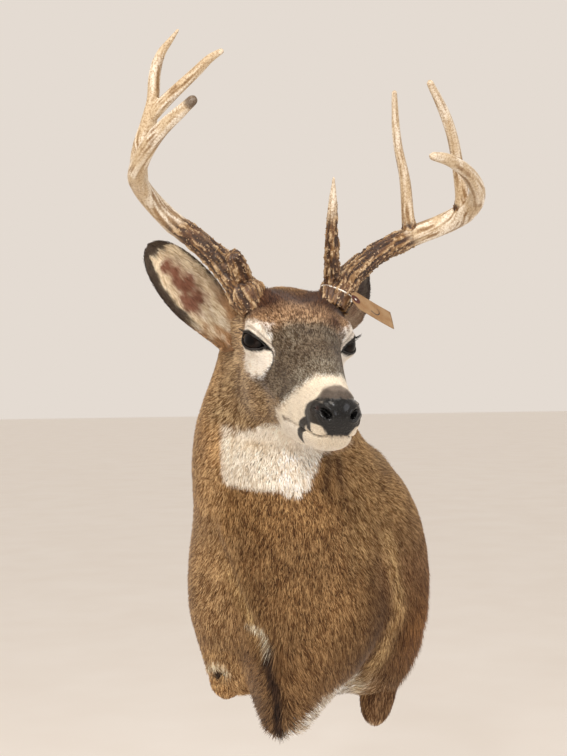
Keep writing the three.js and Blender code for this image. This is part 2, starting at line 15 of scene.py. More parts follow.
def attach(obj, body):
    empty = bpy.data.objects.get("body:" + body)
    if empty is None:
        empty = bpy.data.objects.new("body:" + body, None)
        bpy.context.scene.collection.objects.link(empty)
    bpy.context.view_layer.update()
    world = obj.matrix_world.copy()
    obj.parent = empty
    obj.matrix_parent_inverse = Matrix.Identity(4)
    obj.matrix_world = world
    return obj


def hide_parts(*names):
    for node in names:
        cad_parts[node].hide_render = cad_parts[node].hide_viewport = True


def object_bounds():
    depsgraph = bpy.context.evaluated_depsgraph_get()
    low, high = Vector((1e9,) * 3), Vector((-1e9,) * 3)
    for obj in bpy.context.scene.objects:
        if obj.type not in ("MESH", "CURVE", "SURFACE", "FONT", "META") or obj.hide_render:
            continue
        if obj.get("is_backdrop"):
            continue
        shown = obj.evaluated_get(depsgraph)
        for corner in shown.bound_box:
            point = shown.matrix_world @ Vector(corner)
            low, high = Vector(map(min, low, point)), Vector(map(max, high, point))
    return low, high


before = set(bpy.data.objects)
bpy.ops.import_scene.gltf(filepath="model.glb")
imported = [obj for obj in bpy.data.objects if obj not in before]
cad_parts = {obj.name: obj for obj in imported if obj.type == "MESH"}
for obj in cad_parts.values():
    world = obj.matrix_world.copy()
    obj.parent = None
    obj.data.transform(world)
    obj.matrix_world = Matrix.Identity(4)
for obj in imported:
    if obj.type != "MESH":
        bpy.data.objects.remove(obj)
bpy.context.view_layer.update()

# %% [markdown]
# ## Camera
# The mount hangs a little above the eye of the person who looks at it, so the camera stands level with
# its throat, 1.64 m from the wall, and looks slightly up. Its roll is the small turn of a hand-held camera.

# %% Camera
FRAME_HEIGHT_PX = 756
FOCAL_PX = 1125.76
SENSOR_HEIGHT = 24.0
CAMERA_PLACE = Vector((-0.0300, -1.6400, 0.2537))
CAMERA_PITCH = math.radians(0.9)
CAMERA_ROLL = math.radians(0.85)


def camera_axes(pitch, roll):
    """Right, up and backward axes of a camera that looks along +Y, pitched up and rolled."""
    ahead = Vector((0, math.cos(pitch), math.sin(pitch)))
    level_right = Vector((1, 0, 0))
    level_up = level_right.cross(ahead)
    right = level_right * math.cos(roll) - level_up * math.sin(roll)
    up = level_right * math.sin(roll) + level_up * math.cos(roll)
    return right, up, -ahead


def add_camera():
    data = bpy.data.cameras.new("camera")
    data.sensor_fit = "VERTICAL"
    data.sensor_height = SENSOR_HEIGHT
    data.lens = FOCAL_PX * SENSOR_HEIGHT / FRAME_HEIGHT_PX
    data.clip_end = 200
    camera = bpy.data.objects.new("camera", data)
    axes = Matrix(camera_axes(CAMERA_PITCH, CAMERA_ROLL)).transposed()
    camera.matrix_world = Matrix.Translation(CAMERA_PLACE) @ axes.to_4x4()
    bpy.context.scene.collection.objects.link(camera)
    bpy.context.scene.camera = camera
    return camera


print("camera lens", round(add_camera().data.lens, 2), "mm")

# %% [markdown]
# ## The body's measures
# These are the measures that the CAD solids are drawn from, in millimetres, so that the skin can be
# drawn again, much finer, in the very same place. The head has its own frame: it starts midway between
# the eyes, x runs forward along the face, y to the deer's left and z up.

# %% Measures of the body
MM = 0.001
HEAD_ORIGIN = np.array([-9.0, -287.0, 314.0])
HEAD_YAW, HEAD_PITCH, HEAD_ROLL = np.radians([12.0, 21.0, -3.0])
SHOULDER_YAW = math.radians(-11)
HEAD_FRONT, HEAD_BACK = 196, -122
CROWN_EXPONENT = 2.3  # how square the top of the head is

# Place along the head, top, bottom, half width, height of the widest line, squareness of the jaw.
HEAD_SECTIONS = np.array([
    (-125, 11, -88, 52, -15, 1.9),
    (-100, 34, -108, 59, -8, 1.9),
    (-70, 48, -118, 62, -4, 1.9),
    (-35, 50, -121, 63, -2, 1.9),
    (0, 44, -116, 57, -6, 1.9),
    (50, 33, -104, 43, -24, 1.9),
    (90, 26, -92, 36, -32, 2.1),
    (130, 19, -77, 29.5, -34, 2.3),
    (165, 13, -63, 25, -32, 2.5),
    (200, 4, -47, 19, -22, 2.4),
])
# Swellings of the head, on both sides where y isn't 0: centre and radii.
HEAD_SWELLINGS = [
    ((-14, 47, 14), (30, 17, 18)),  # brow
    ((-24, 38, -56), (50, 22, 46)),  # jaw muscle
    ((-60, 44, 30), (22, 22, 23)),  # pedicle of the antler
    ((180, 0, -15), (26, 21, 23)),  # nose pad
    ((180, 13, -20), (20, 12, 14)),  # nostril wing
    ((162, 0, -46), (23, 20, 16)),  # chin
]
# Height, then the left, right, front and back edges of the neck and the keel of the chest.
NECK_SECTIONS = np.array([
    (-175, -46, -36, -243, -225),
    (-160, -62, -6, -252, -170),
    (-130, -78, 28, -268, -80),
    (-90, -94, 74, -281, 0),
    (-45, -112, 108, -286, 50),
    (0, -132, 122, -283, 60),
    (82, -153, 116, -268, 60),
    (157, -157, 98, -246, 20),
    (190, -153, 78, -238, -14),
    (223, -147, 62, -235, -44),
    (283, -123, 47, -236, -97),
    (350, -96, 34, -236, -148),
    (390, -50, -5, -218, -185),
])
NECK_TOP = 392
KEEL_TIP = -176
BARREL = ((0, 20, 14), (156, 215, 184), 2.6)
SHOULDERS = [
    ((-88, -105, -5), (77, 98, 122)),
    ((88, -85, 8), (76, 112, 142)),
    ((-100, -110, -98), (34, 40, 48)),
    ((92, -98, -105), (34, 42, 52)),
]
BLEND_NECK, BLEND_TRUNK, BLEND_SHOULDER, BLEND_HEAD = 34, 30, 30, 12
BOARD_THICKNESS = 12
EYE_CENTRE = np.array([-4.0, 51.0, 2.5])
EYE_RADIUS = 18.2


# %% The head's frame
def turn_about(axis, angle):
    """A 3 x 3 turn, as an array."""
    return np.array(Matrix.Rotation(angle, 3, axis))


HEAD_TURN = (
    turn_about("Z", HEAD_YAW - math.pi / 2) @ turn_about("Y", HEAD_PITCH) @ turn_about("X", HEAD_ROLL)
)


def to_head(points):
    return (points - HEAD_ORIGIN) @ HEAD_TURN


def to_world(points):
    return np.asarray(points, float) @ HEAD_TURN.T + HEAD_ORIGIN


def unit(vectors):
    return vectors / np.maximum(np.linalg.norm(vectors, axis=-1, keepdims=True), 1e-9)


def smooth(x, low=0.0, high=1.0):
    """0 below low, 1 above high and an even curve between them."""
    t = np.clip((np.asarray(x, float) - low) / (high - low), 0, 1)
    return t * t * (3 - 2 * t)


print("head frame", np.round(to_world([0, 0, 0]), 1))

# %% [markdown]
# ## One smooth body
# Head, neck and trunk are one field: a number for each place that is below zero inside the body.
# Joining two shapes with a rounded minimum gives the fillet that skin makes over flesh, so no seam
# has to be hidden where the neck meets the head.

# %% Smooth curves
def curve_shares(t):
    """Shares of the start, its slope, the end and its slope, at t of the way along a smooth span."""
    return 2 * t**3 - 3 * t**2 + 1, t**3 - 2 * t**2 + t, 3 * t**2 - 2 * t**3, t**3 - t**2


def smooth_curve(places, values, samples=900):
    """A smooth curve through the values, kept as a fine table that is quick to look up."""
    slopes = np.empty(len(values))
    slopes[1:-1] = (values[2:] - values[:-2]) / (places[2:] - places[:-2])
    slopes[0] = (values[1] - values[0]) / (places[1] - places[0])
    slopes[-1] = (values[-1] - values[-2]) / (places[-1] - places[-2])
    fine = np.linspace(places[0], places[-1], samples)
    i = np.clip(np.searchsorted(places, fine, side="right") - 1, 0, len(places) - 2)
    span = places[i + 1] - places[i]
    start, leaving, end, arriving = curve_shares((fine - places[i]) / span)
    table = (
        start * values[i] + leaving * span * slopes[i]
        + end * values[i + 1] + arriving * span * slopes[i + 1]
    )
    return lambda place: np.interp(place, fine, table)


head_top, head_bottom, head_half, head_widest, head_jaw = (
    smooth_curve(HEAD_SECTIONS[:, 0], HEAD_SECTIONS[:, k]) for k in range(1, 6)
)
neck_left, neck_right, neck_front, neck_back = (
    smooth_curve(NECK_SECTIONS[:, 0], NECK_SECTIONS[:, k]) for k in range(1, 5)
)
print("half width of the head at the eyes", float(head_half(0)), "mm")


# %% Joining shapes
def join(a, b, blend):
    """Joins two distances with a fillet about as wide as blend."""
    overlap = np.maximum(blend - np.abs(a - b), 0) / blend
    return np.minimum(a, b) - overlap * overlap * blend / 4


def trim(a, b, blend):
    return -join(-a, -b, blend)


def swelling(x, y, z, centre, radii, exponent=2):
    """Distance from an ellipsoid, or from a squarer body with a larger exponent."""
    parts = [np.abs((v - c) / r) for v, c, r in zip((x, y, z), centre, radii)]
    length = np.sqrt(parts[0] ** 2 + parts[1] ** 2 + parts[2] ** 2)
    size = length
    if exponent != 2:
        size = (parts[0] ** exponent + parts[1] ** exponent + parts[2] ** exponent) ** (1 / exponent)
    steep = np.sqrt(sum((p / r) ** 2 for p, r in zip(parts, radii)))
    return (size - 1) * length / np.maximum(steep, 1e-9)


print("a fillet of 12 mm fills", -join(0.0, 0.0, 12.0), "mm of the corner")

# %% The body as a field
LID_THICKNESS = 2.4  # of the closed part of the lids over the eyeball
MIDLINE = 4.0  # rounds off the fold where the two halves of the head meet


def head_distance(x, y, z):
    half, widest = head_half(x), head_widest(x)
    upper = z > widest
    height = np.where(upper, head_top(x) - widest, widest - head_bottom(x))
    exponent = np.where(upper, CROWN_EXPONENT, head_jaw(x))
    ends = np.abs(y / half) ** exponent + np.abs((z - widest) / height) ** exponent
    distance = (ends ** (1 / exponent) - 1) * np.minimum(half, height)
    distance = trim(distance, x - HEAD_FRONT, 14)
    distance = trim(distance, HEAD_BACK - x, 30)
    for centre, radii in HEAD_SWELLINGS:
        side = np.sqrt(y * y + MIDLINE) if centre[1] else y
        distance = join(distance, swelling(x, side, z, centre, radii), BLEND_HEAD)
    lids = np.sqrt((x - EYE_CENTRE[0]) ** 2 + (np.abs(y) - EYE_CENTRE[1]) ** 2 + (z - EYE_CENTRE[2]) ** 2)
    return join(distance, lids - EYE_RADIUS - LID_THICKNESS, 7)


def neck_distance(x, y, z):
    left, right, front, back = neck_left(z), neck_right(z), neck_front(z), neck_back(z)
    half_x, half_y = (right - left) / 2, (back - front) / 2
    size = np.hypot((x - (left + right) / 2) / half_x, (y - (front + back) / 2) / half_y)
    side = (size - 1) * np.minimum(half_x, half_y)
    return trim(trim(side, z - NECK_TOP, 20), KEEL_TIP - z, 10)


BACK_PLANE = -(BOARD_THICKNESS + 0.3)  # the hide is cut off flat here, against the board


def body_distance(points):
    x, y, z = np.moveaxis(points, -1, 0)
    distance = join(neck_distance(x, y, z), swelling(x, y, z, *BARREL), BLEND_TRUNK)
    for centre, radii in SHOULDERS:
        distance = join(distance, swelling(x, y, z, centre, radii), BLEND_SHOULDER)
    head = to_head(points)
    distance = join(distance, head_distance(*np.moveaxis(head, -1, 0)), BLEND_NECK)
    return trim(distance, y - BACK_PLANE, 5)


print("field at the nose", round(float(body_distance(to_world([[170, 0, -22]]))[0]), 1))

# %% [markdown]
# ## Rings along the body
# The skin is a net of rings. They lie across a spine that runs from the nose back over the poll, fans
# round the throat and goes straight down the neck. Each point of a ring is where a ray leaves the body.
# The rings stand closest at the nose and the eyes, where the shape turns fastest.

# %% Kinds of ring
PIVOT_FORWARD, PIVOT_BELOW = 74, 147.5
FAN_END = 90 + math.degrees(HEAD_PITCH)
NOSE_FORWARD, NOSE_UP = 170, -22
EYE_RISE = -26  # height of a ring's middle where the fan begins
FAN_REACH, FAN_ASIDE = 185, 14
TRUNK_FLOOR = -60
COLUMNS = 224

across = np.array([math.cos(HEAD_YAW), math.sin(HEAD_YAW), 0])
forward = HEAD_TURN[:, 0]
upright = unit(np.cross(forward, across))
pivot = to_world([PIVOT_FORWARD, 0, -PIVOT_BELOW])


def mix(a, b, t):
    return a + (b - a) * t


def nose_ring(lean):
    return to_world([NOSE_FORWARD, 0, NOSE_UP]), upright, across, forward, math.radians(lean)


def muzzle_ring(at):
    rise = mix(NOSE_UP, EYE_RISE, (NOSE_FORWARD - at) / (NOSE_FORWARD - PIVOT_FORWARD))
    return to_world([at, 0, rise]), upright, across, forward, 0.0


def fan_ring(turn):
    angle = math.radians(turn)
    top = upright * math.cos(angle) + np.cross(across, upright) * -math.sin(angle)
    share = turn / FAN_END
    origin = pivot + top * mix(PIVOT_BELOW + EYE_RISE, FAN_REACH, share) - across * FAN_ASIDE * smooth(share)
    return origin, top, across, forward, 0.0


fan_end = fan_ring(FAN_END)[0]


def trunk_ring(height, lean=0.0):
    share = smooth((fan_end[2] - height) / (fan_end[2] - TRUNK_FLOOR))
    turn = mix(HEAD_YAW, SHOULDER_YAW, share)
    origin = np.array([mix(fan_end[0], -6, share), mix(fan_end[1], -128, share), height])
    side = np.array([math.cos(turn), math.sin(turn), 0])
    top = np.array([-math.sin(turn), math.cos(turn), 0])
    return origin, top, side, np.array([0.0, 0.0, -1.0]), math.radians(lean)


print("the fan turns through", round(FAN_END), "degrees")


# %% Rings from the nose to the brisket
def spread(start, stop, count):
    """Evenly spaced places from start up to, but without, stop."""
    return np.linspace(start, stop, count, endpoint=False)


rings = [nose_ring(lean) for lean in spread(86, 0, 22)]
rings += [muzzle_ring(at) for at in spread(NOSE_FORWARD, PIVOT_FORWARD, 54)]
muzzle_end = len(rings)
rings += [fan_ring(turn) for turn in spread(0, 14, 12)]
rings += [fan_ring(turn) for turn in spread(14, 41, 50)]
rings += [fan_ring(turn) for turn in spread(41, 62, 20)]
head_end = len(rings)
rings += [fan_ring(turn) for turn in spread(62, FAN_END, 36)]
neck_start = len(rings)
rings += [trunk_ring(height) for height in spread(fan_end[2], TRUNK_FLOOR, 78)]
trunk_end = len(rings)
rings += [trunk_ring(TRUNK_FLOOR, lean) for lean in spread(0, 88, 42)]
print(len(rings), "rings; the fan ends at", np.round(fan_end, 1))

# %% Skin net
MARCH = 8.0
HALVINGS = 11


def leave_body(origins, rays):
    """How far along each ray the surface lies: long steps outwards, then halvings."""
    near = np.zeros(len(origins))
    far = np.full(len(origins), MARCH)
    active = np.arange(len(origins))
    while len(active):
        inside = body_distance(origins[active] + rays[active] * far[active, None]) < 0
        active = active[inside]
        near[active] = far[active]
        far[active] += MARCH
    for _ in range(HALVINGS):
        middle = (near + far) / 2
        inside = body_distance(origins + rays * middle[:, None]) < 0
        near = np.where(inside, middle, near)
        far = np.where(inside, far, middle)
    return (near + far) / 2


def body_net():
    """Points of the body's outer surface, one row for each ring."""
    angle = np.arange(COLUMNS) / COLUMNS * math.tau
    origin, top, side, axis, lean = (np.array(part) for part in zip(*rings))
    level = top[:, None] * np.cos(angle)[None, :, None] - side[:, None] * np.sin(angle)[None, :, None]
    lean = lean[:, None, None]
    rays = level * np.cos(lean) + axis[:, None] * np.sin(lean)
    origins = np.broadcast_to(origin[:, None], rays.shape)
    reach = leave_body(origins.reshape(-1, 3), rays.reshape(-1, 3)).reshape(rays.shape[:2])
    return origins + rays * reach[..., None]


coat_surface = body_net()
print("net", coat_surface.shape, "lowest corner", coat_surface.min((0, 1)).round())

# %% [markdown]
# ## Tools for nets
# A net is a grid of points, closed round its rings. Its normals come from the two directions of the
# grid. Marks and folds are placed by how far a point lies from a spot or from a drawn line, and a
# repeatable noise keeps their edges from looking ruled.

# %% Normals, spots and strokes
def net_normals(net):
    """Outward unit normals of a closed net."""
    round_ring = np.roll(net, -1, 1) - np.roll(net, 1, 1)
    along = np.gradient(net, axis=0)
    return unit(np.cross(along, round_ring))


def band(distance, width):
    """1 where the distance is 0, falling to about a third at the width."""
    return np.exp(-((distance / width) ** 2))


def spot(points, centre, radii):
    """1 at the centre, falling to about a third at the radii."""
    return np.exp(-(((points - np.array(centre)) / np.array(radii)) ** 2).sum(-1))


def stroke_distance(points, line):
    """Distance from each point to a drawn line of points, and the share of the line where it is nearest."""
    line = np.array(line, float)
    best = np.full(points.shape[:-1], 1e9)
    where = np.zeros(points.shape[:-1])
    for i, (a, b) in enumerate(zip(line[:-1], line[1:])):
        edge = b - a
        t = np.clip(((points - a) @ edge) / (edge @ edge), 0, 1)
        distance = np.linalg.norm(points - (a + t[..., None] * edge), axis=-1)
        where = np.where(distance < best, (i + t) / (len(line) - 1), where)
        best = np.minimum(best, distance)
    return best, where


def stroke(points, line, width):
    """1 on a drawn line, falling off across its width."""
    return band(stroke_distance(points, line)[0], width)


surface_normals = net_normals(coat_surface)
print("normal at the nose", surface_normals[0, 0].round(2))


# %% Noise
def scramble(x, y, z, seed):
    """A number from 0 to 1 for each corner of a lattice."""
    h = (x * 73856093) ^ (y * 19349663) ^ (z * 83492791) ^ (seed * 40503)
    h = (h & 0xFFFFFFFF).astype(np.uint64)
    h = ((h ^ (h >> 15)) * 2246822519) & 0xFFFFFFFF
    h = ((h ^ (h >> 13)) * 3266489917) & 0xFFFFFFFF
    return (h ^ (h >> 16)) / 4294967296.0


def cloud(points, size, seed):
    """Smooth noise from -1 to 1 with patches about as wide as size."""
    place = points / np.asarray(size, float)
    cell = np.floor(place).astype(np.int64)
    t = place - cell
    t = t * t * (3 - 2 * t)
    total = 0
    for corner in np.ndindex(2, 2, 2):
        weight = np.prod(np.where(np.array(corner), t, 1 - t), axis=-1)
        total = total + weight * scramble(*np.moveaxis(cell + np.array(corner), -1, 0), seed)
    return total * 2 - 1


def mirrored(points):
    """The same place on the right of the head and on the left, as one place."""
    return points * [1, 0, 1] + np.sqrt(points**2 + MIDLINE) * [0, 1, 0]


print("noise spread", np.round(cloud(coat_surface[::9, ::9], 20, 3).std(), 2))

# %% [markdown]
# ## Folds and relief
# The stuffed form has its muscle and bone from the field. The skin adds what a hand would feel:
# the hollow in front of the eye, the tear line, the lips, the nostrils and the creases where the
# neck lies over the shoulders. Each is a small push in or out along the skin's own normal.

# %% Relief of the head
MOUTH = [
    (86, 33, -60), (115, 30, -55), (135, 27.5, -50.5), (163, 25.6, -44.5), (186, 21, -39), (198, 11, -35.5),
    (201, 0, -34.5),
]
LOWER_LIP = [(130, 22, -58), (160, 20, -52), (186, 13, -46), (194, 0, -43)]
TEAR_LINE = [(29, 46.5, 1.5), (35, 45.6, -4), (38, 46, -11), (38.5, 46, -17)]
NOSTRIL_LINE = [(203, 14, -10), (201, 18, -6.5), (196, 22, -5), (190, 25, -6.5), (185, 26.5, -9)]
PHILTRUM = [(206, 0, -14), (205, 0, -22), (203, 0, -28)]
BROW_LINE = [(-34, 58, 18), (-16, 60, 26), (2, 56, 27), (18, 47, 22)]


def head_relief(head):
    """Height in mm that the skin of the head is pushed out by."""
    face = mirrored(head)
    mouth, along = stroke_distance(face, MOUTH)
    below = face[..., 2] < -20 - 0.145 * (200 - face[..., 0]) - 14
    lip = band(mouth - 4.5, 3) * smooth(along, 0.25, 0.5)
    height = -3.4 * band(mouth, 1.7) * smooth(along, 0, 0.12)
    height += lip * np.where(below, 0.3, 1.5)
    height += 2.0 * stroke(face, LOWER_LIP, 9)  # swell of the lower lip
    height -= 4.5 * spot(face, (32, 45, -4), (16, 17, 14))  # hollow before the eye
    height -= 2.4 * stroke(face, TEAR_LINE, 1.7)
    height += 2.2 * stroke(face, BROW_LINE, 7)
    slit, place = stroke_distance(face, NOSTRIL_LINE)
    width = mix(3.1, 1.2, smooth(place, 0.2, 0.85))
    height -= 8.5 * np.exp(-((slit / width) ** 4)) * mix(1, 0.55, smooth(place, 0.5, 1))
    height += 1.6 * band(slit - 6, 2.4)  # rim of the nostril
    height -= 0.7 * stroke(face, PHILTRUM, 1.5)
    height += 1.6 * spot(face, (40, 30, 24), (30, 7, 9))  # edge of the bridge
    height -= 2.0 * spot(face, (75, 33, -18), (28, 12, 12))  # side of the muzzle
    height += 1.8 * stroke(face, [(20, 50, -30), (60, 40, -42), (92, 34, -46)], 8)
    height -= 2.2 * spot(head, (30, 0, 38), (40, 9, 12))  # dip of the forehead
    height -= 8.5 * spot(head, (-54, 4, 50), (44, 22, 18))  # valley between the antlers
    height += 3.0 * spot(face, (-38, 36, 46), (22, 15, 14))  # foot of an antler
    height += 2.2 * spot(head, (7, 36, 33), (12, 9, 9))  # cowlick over the left eye
    height += 2.2 * spot(face, (-52, 18, 48), (34, 30, 18)) * cloud(head, (11, 8, 8), 34)
    return height

# %% Relief of the neck and trunk
LEFT_CREASE = [(-116, -216, 84), (-108, -226, 63), (-88, -244, 14), (-67, -257, -28), (-54, -268, -50)]
RIGHT_CREASE = [
    (96, -212, 75), (103, -208, 42), (112, -199, -20), (97, -195, -60), (77, -163, -106), (60, -122, -140),
]
NECK_CREASE = [(40, -225, 165), (47, -236, 120), (44, -248, 80), (36, -262, 40)]
WHORL = (-52, -268, -50)
STRIPE = [(-52, -266, -52), (-49, -264, -76), (-44, -263, -108), (-41, -258, -136), (-38, -248, -165)]
JAW_CREASE = [(-92, -205, 196), (-62, -232, 194), (-29, -245, 190), (4, -238, 186), (24, -215, 184)]
STUB_HOLE = (-119, -150, -113)


def side_of(points, line, towards):
    """1 on the side of a drawn line that the direction points to, and -1 on the other."""
    line = np.array(line, float)
    nearest = np.clip(stroke_distance(points, line)[1] * (len(line) - 1), 0, len(line) - 1.001)
    i = nearest.astype(int)
    at = line[i] + (line[i + 1] - line[i]) * (nearest - i)[..., None]
    return np.tanh(((points - at) @ np.array(towards, float)) / 5)


def hole_distance(world):
    """Distance from the puckered hole at the end of the right stub, as seen from in front."""
    return np.linalg.norm((world - np.array(STUB_HOLE)) * [1, 0, 1], axis=-1) + 99 * (world[..., 1] > -100)


def trunk_relief(world):
    left = side_of(world, LEFT_CREASE, (1, 0, 0))
    right = side_of(world, RIGHT_CREASE, (1, 0, 0))
    height = -2.5 * stroke(world, LEFT_CREASE, 11) + 3 * left * stroke(world, LEFT_CREASE, 22)
    height += 3.0 * stroke(world, RIGHT_CREASE, 10) + 1.8 * right * stroke(world, RIGHT_CREASE, 20)
    height += 3.2 * stroke(world, NECK_CREASE, 9)
    height -= 5 * spot(world, WHORL, (9, 12, 9))
    height -= 3.5 * stroke(world, STRIPE, 9)
    height -= 3.5 * stroke(world, JAW_CREASE, 9)
    hole = hole_distance(world)
    height += 3.0 * band(hole - 15, 6) - 9 * np.exp(-((hole / 6) ** 4))
    return height + 1.6 * cloud(world, 45, 5) + 0.5 * cloud(world, 14, 6)


head_place = to_head(coat_surface)
on_crown = smooth(head_place[..., 0], -125, -92) * smooth(head_place[..., 2], 0, 20)
on_head = np.maximum(smooth(head_place[..., 0], -70, -30) * smooth(head_place[..., 2], -140, -112), on_crown)
relief = head_relief(head_place) * on_head + trunk_relief(coat_surface) * (1 - on_head)
on_back = smooth(surface_normals[..., 1], 0.55, 0.85)
on_back *= smooth(coat_surface[..., 1], BACK_PLANE - 12, BACK_PLANE - 3)
relief *= 1 - on_back
print("relief from", relief.min().round(1), "to", relief.max().round(1), "mm")

# %% [markdown]
# ## Depth of the coat
# The CAD solid is drawn to the tips of the hair, so the skin lies inside it by the depth of the coat:
# nothing at the bare nose, one to three millimetres on the face, and about nine on the winter coat of
# the neck and chest.

# %% Coat depth and the skin
ROWS = np.arange(len(rings))
DEPTH_STOPS = [0, 22, muzzle_end, head_end, neck_start, trunk_end, len(rings)]
COAT_DEPTH = [1.0, 1.3, 2.0, 4.5, 7.5, 8.5, 9.0]
PAD_HEIGHTS = [-37, -34, -28, -22, -15, -8, -2, 4, 7.5]
PAD_HALVES = [-4, 12, 15, 20, 25, 25, 22, 14, -4]


def pad_mask(head):
    """1 on the bare nose pad."""
    half = np.interp(head[..., 2], PAD_HEIGHTS, PAD_HALVES)
    return smooth(half - np.abs(head[..., 1]), -1.2, 1.2) * smooth(head[..., 0], 172, 177)


coat_depth = np.interp(ROWS, DEPTH_STOPS, COAT_DEPTH)[:, None] * np.ones(COLUMNS)
beside_eye = np.linalg.norm(mirrored(head_place) - EYE_CENTRE, axis=-1)
coat_depth = mix(1.1, coat_depth, smooth(beside_eye, 22, 42))
coat_depth *= (1 - pad_mask(head_place)) * (1 - on_back)
skin = coat_surface + surface_normals * (relief - coat_depth)[..., None]
print("coat depth from", coat_depth.min().round(1), "to", coat_depth.max().round(1), "mm")

# %% [markdown]
# ## Lids
# A deer's eye is a long almond that runs down to the tear line in front. The skin inside the almond is
# sunk behind the glass eye, and the lids stand a little over it, as they do on a set eye.

# %% Eye openings
GAZE = unit(np.array([0.57, 0.81, 0.15]))
SLIT = np.array([1.0, 0.0, 0.04])  # the way the slit runs, before it is laid square to the gaze
TO_TEAR = unit(SLIT - GAZE * (SLIT @ GAZE))
LID_UP = unit(np.cross(TO_TEAR, GAZE))
LID_UP = LID_UP * np.sign(LID_UP[2])
ALMOND_BACK, ALMOND_FRONT = -18.5, 27.5
UPPER_LID, LOWER_LID = 8.4, 9.6


def lid_heights(along):
    """Heights of the upper and lower lid's edge over the line between the corners of the eye."""
    t = np.clip((along - ALMOND_BACK) / (ALMOND_FRONT - ALMOND_BACK), 0, 1)
    upper = UPPER_LID * np.sin(np.pi * t**0.66) ** 0.8
    lower = LOWER_LID * np.sin(np.pi * t**0.74) ** 0.9
    pinch = 1 - 0.5 * smooth(t, 0.7, 0.98)
    return upper * pinch, -lower * pinch


def eye_place(face):
    """Place along the slit, above it, and out of it, for points of the mirrored head."""
    offset = face - EYE_CENTRE
    return offset @ TO_TEAR, offset @ LID_UP, offset @ GAZE


def open_eyes(points):
    """Sinks the skin inside the almond behind the glass; also says how far outside it each point is."""
    head = to_head(points)
    along, above, out = eye_place(mirrored(head))
    upper, lower = lid_heights(along)
    outside = np.maximum(above - upper, lower - above)
    outside = np.maximum(outside, np.maximum(ALMOND_BACK - along, along - ALMOND_FRONT))
    outside = np.where(out > -6, outside, 99.0)
    across_ball = np.hypot(along, above)
    glass = np.sqrt(np.maximum(EYE_RADIUS**2 - across_ball**2, 0))
    sink = mix(np.maximum(out - glass + 3.5, 0), 2.2, smooth(across_ball, 15, 18.5))
    fold = band(outside - 6.5, 1.6) * smooth(above, 3, 8) * smooth(-along, -16, -6)
    sink = sink * (1 - smooth(outside, -1.2, 0.6)) + 1.3 * fold
    side = np.where(head[..., 1:2] < 0, [1, -1, 1], 1)
    return points - (sink[..., None] * GAZE * side) @ HEAD_TURN.T, outside


skin, beside_lids = open_eyes(skin)
print("skin points", skin.shape[0] * skin.shape[1], "in the eye openings", int((beside_lids < 0).sum()))

# %% [markdown]
# ## Ears and leg stubs
# An ear is a cupped leaf with its back and its hollow side close together. The stubs are where the
# forelegs were folded away and sewn. They are nets too, sunk into the body, and become part of the one skin.

# %% Ear nets
EARS = {
    "ear_right": dict(
        root=(-69, -55, -29), tip=(-201, -168, 64), faces=(0.76, -0.45, 0.47), half=35, low=-1,
    ),
    "ear_left": dict(root=(-67, 50, 5), tip=(-212, 137, 36), faces=(0.45, 0.85, 0.3), half=30, low=1),
}
EAR_ROOT_WIDTH, EAR_WIDEST = 0.6, 0.5
EAR_ROOT_CUP, EAR_TIP_CUP = 78, 26
EAR_LEATHER, EAR_COAT = 1.3, 2.2
EAR_COLUMNS, EAR_ROWS = 64, 56


def ear_patch(root, tip, faces, half, low):
    """A net round an ear, back first and then the hollow side, with what each point is on the ear."""
    root, tip = np.array(root, float), np.array(tip, float)
    length = np.linalg.norm(tip - root)
    axis = (tip - root) / length
    facing = np.array(faces) - axis * (np.array(faces) @ axis)
    facing = unit(facing)
    side = np.cross(axis, facing)
    s = np.sin(np.arange(1, EAR_ROWS) / EAR_ROWS * np.pi / 2) ** 0.9
    column = np.arange(EAR_COLUMNS)
    inner = column >= EAR_COLUMNS / 2
    sweep = np.where(inner, 3 - 4 * column / EAR_COLUMNS, 4 * column / EAR_COLUMNS - 1)
    past = np.maximum(s - EAR_WIDEST, 0) / (1 - EAR_WIDEST)
    width = half * mix(EAR_ROOT_WIDTH, 1, smooth(s / EAR_WIDEST)) * np.sqrt(1 - past**2.2)
    cup = np.radians(mix(EAR_ROOT_CUP, EAR_TIP_CUP, s))[:, None]
    bend = width[:, None] / np.sin(cup)
    edge = np.sqrt(np.maximum(1 - sweep**4, 0.03))
    reach = bend + np.where(inner, -1, 1) * EAR_LEATHER * edge
    reach = reach * (1 - (EAR_COAT - 0.8) * sweep**8 / half)
    curl = 5 * smooth(np.abs(sweep), 0.75, 1.0) * smooth(s, 0.15, 0.5)[:, None]
    curl *= (1 - smooth(s, 0.8, 1))[:, None]
    spine = root + axis * (s * length)[:, None]
    net = (
        spine[:, None] + side * (np.sin(cup * sweep) * reach)[..., None]
        + facing * (bend - np.cos(cup * sweep) * reach - curl * 0.35)[..., None]
    )
    shape = net.shape[:2]
    marks = {
        "inner": np.broadcast_to(inner, shape).astype(float),
        "low": np.broadcast_to(sweep * low, shape),
        "s": np.broadcast_to(s[:, None], shape),
    }
    net = to_world(net)
    poles = to_world(root), to_world(tip - axis * EAR_COAT)
    hinge = net.mean(1, keepdims=True)
    if (net_normals(net) * (net - hinge)).sum() < 0:
        net = net[:, ::-1]
        marks = {key: value[:, ::-1] for key, value in marks.items()}
    return {"net": net, "poles": poles, "marks": marks}

# %% Leg stub nets
STUBS = {
    "leg_stub_right": dict(start=(-106, -110, -76), end=(-112, -118, -128), radii=(33, 26)),
    "leg_stub_left": dict(start=(101, -98, -86), end=(88, -105, -174), radii=(35, 23)),
}
STUB_COAT = 6.5
STUB_COLUMNS, STUB_ROWS = 64, 40


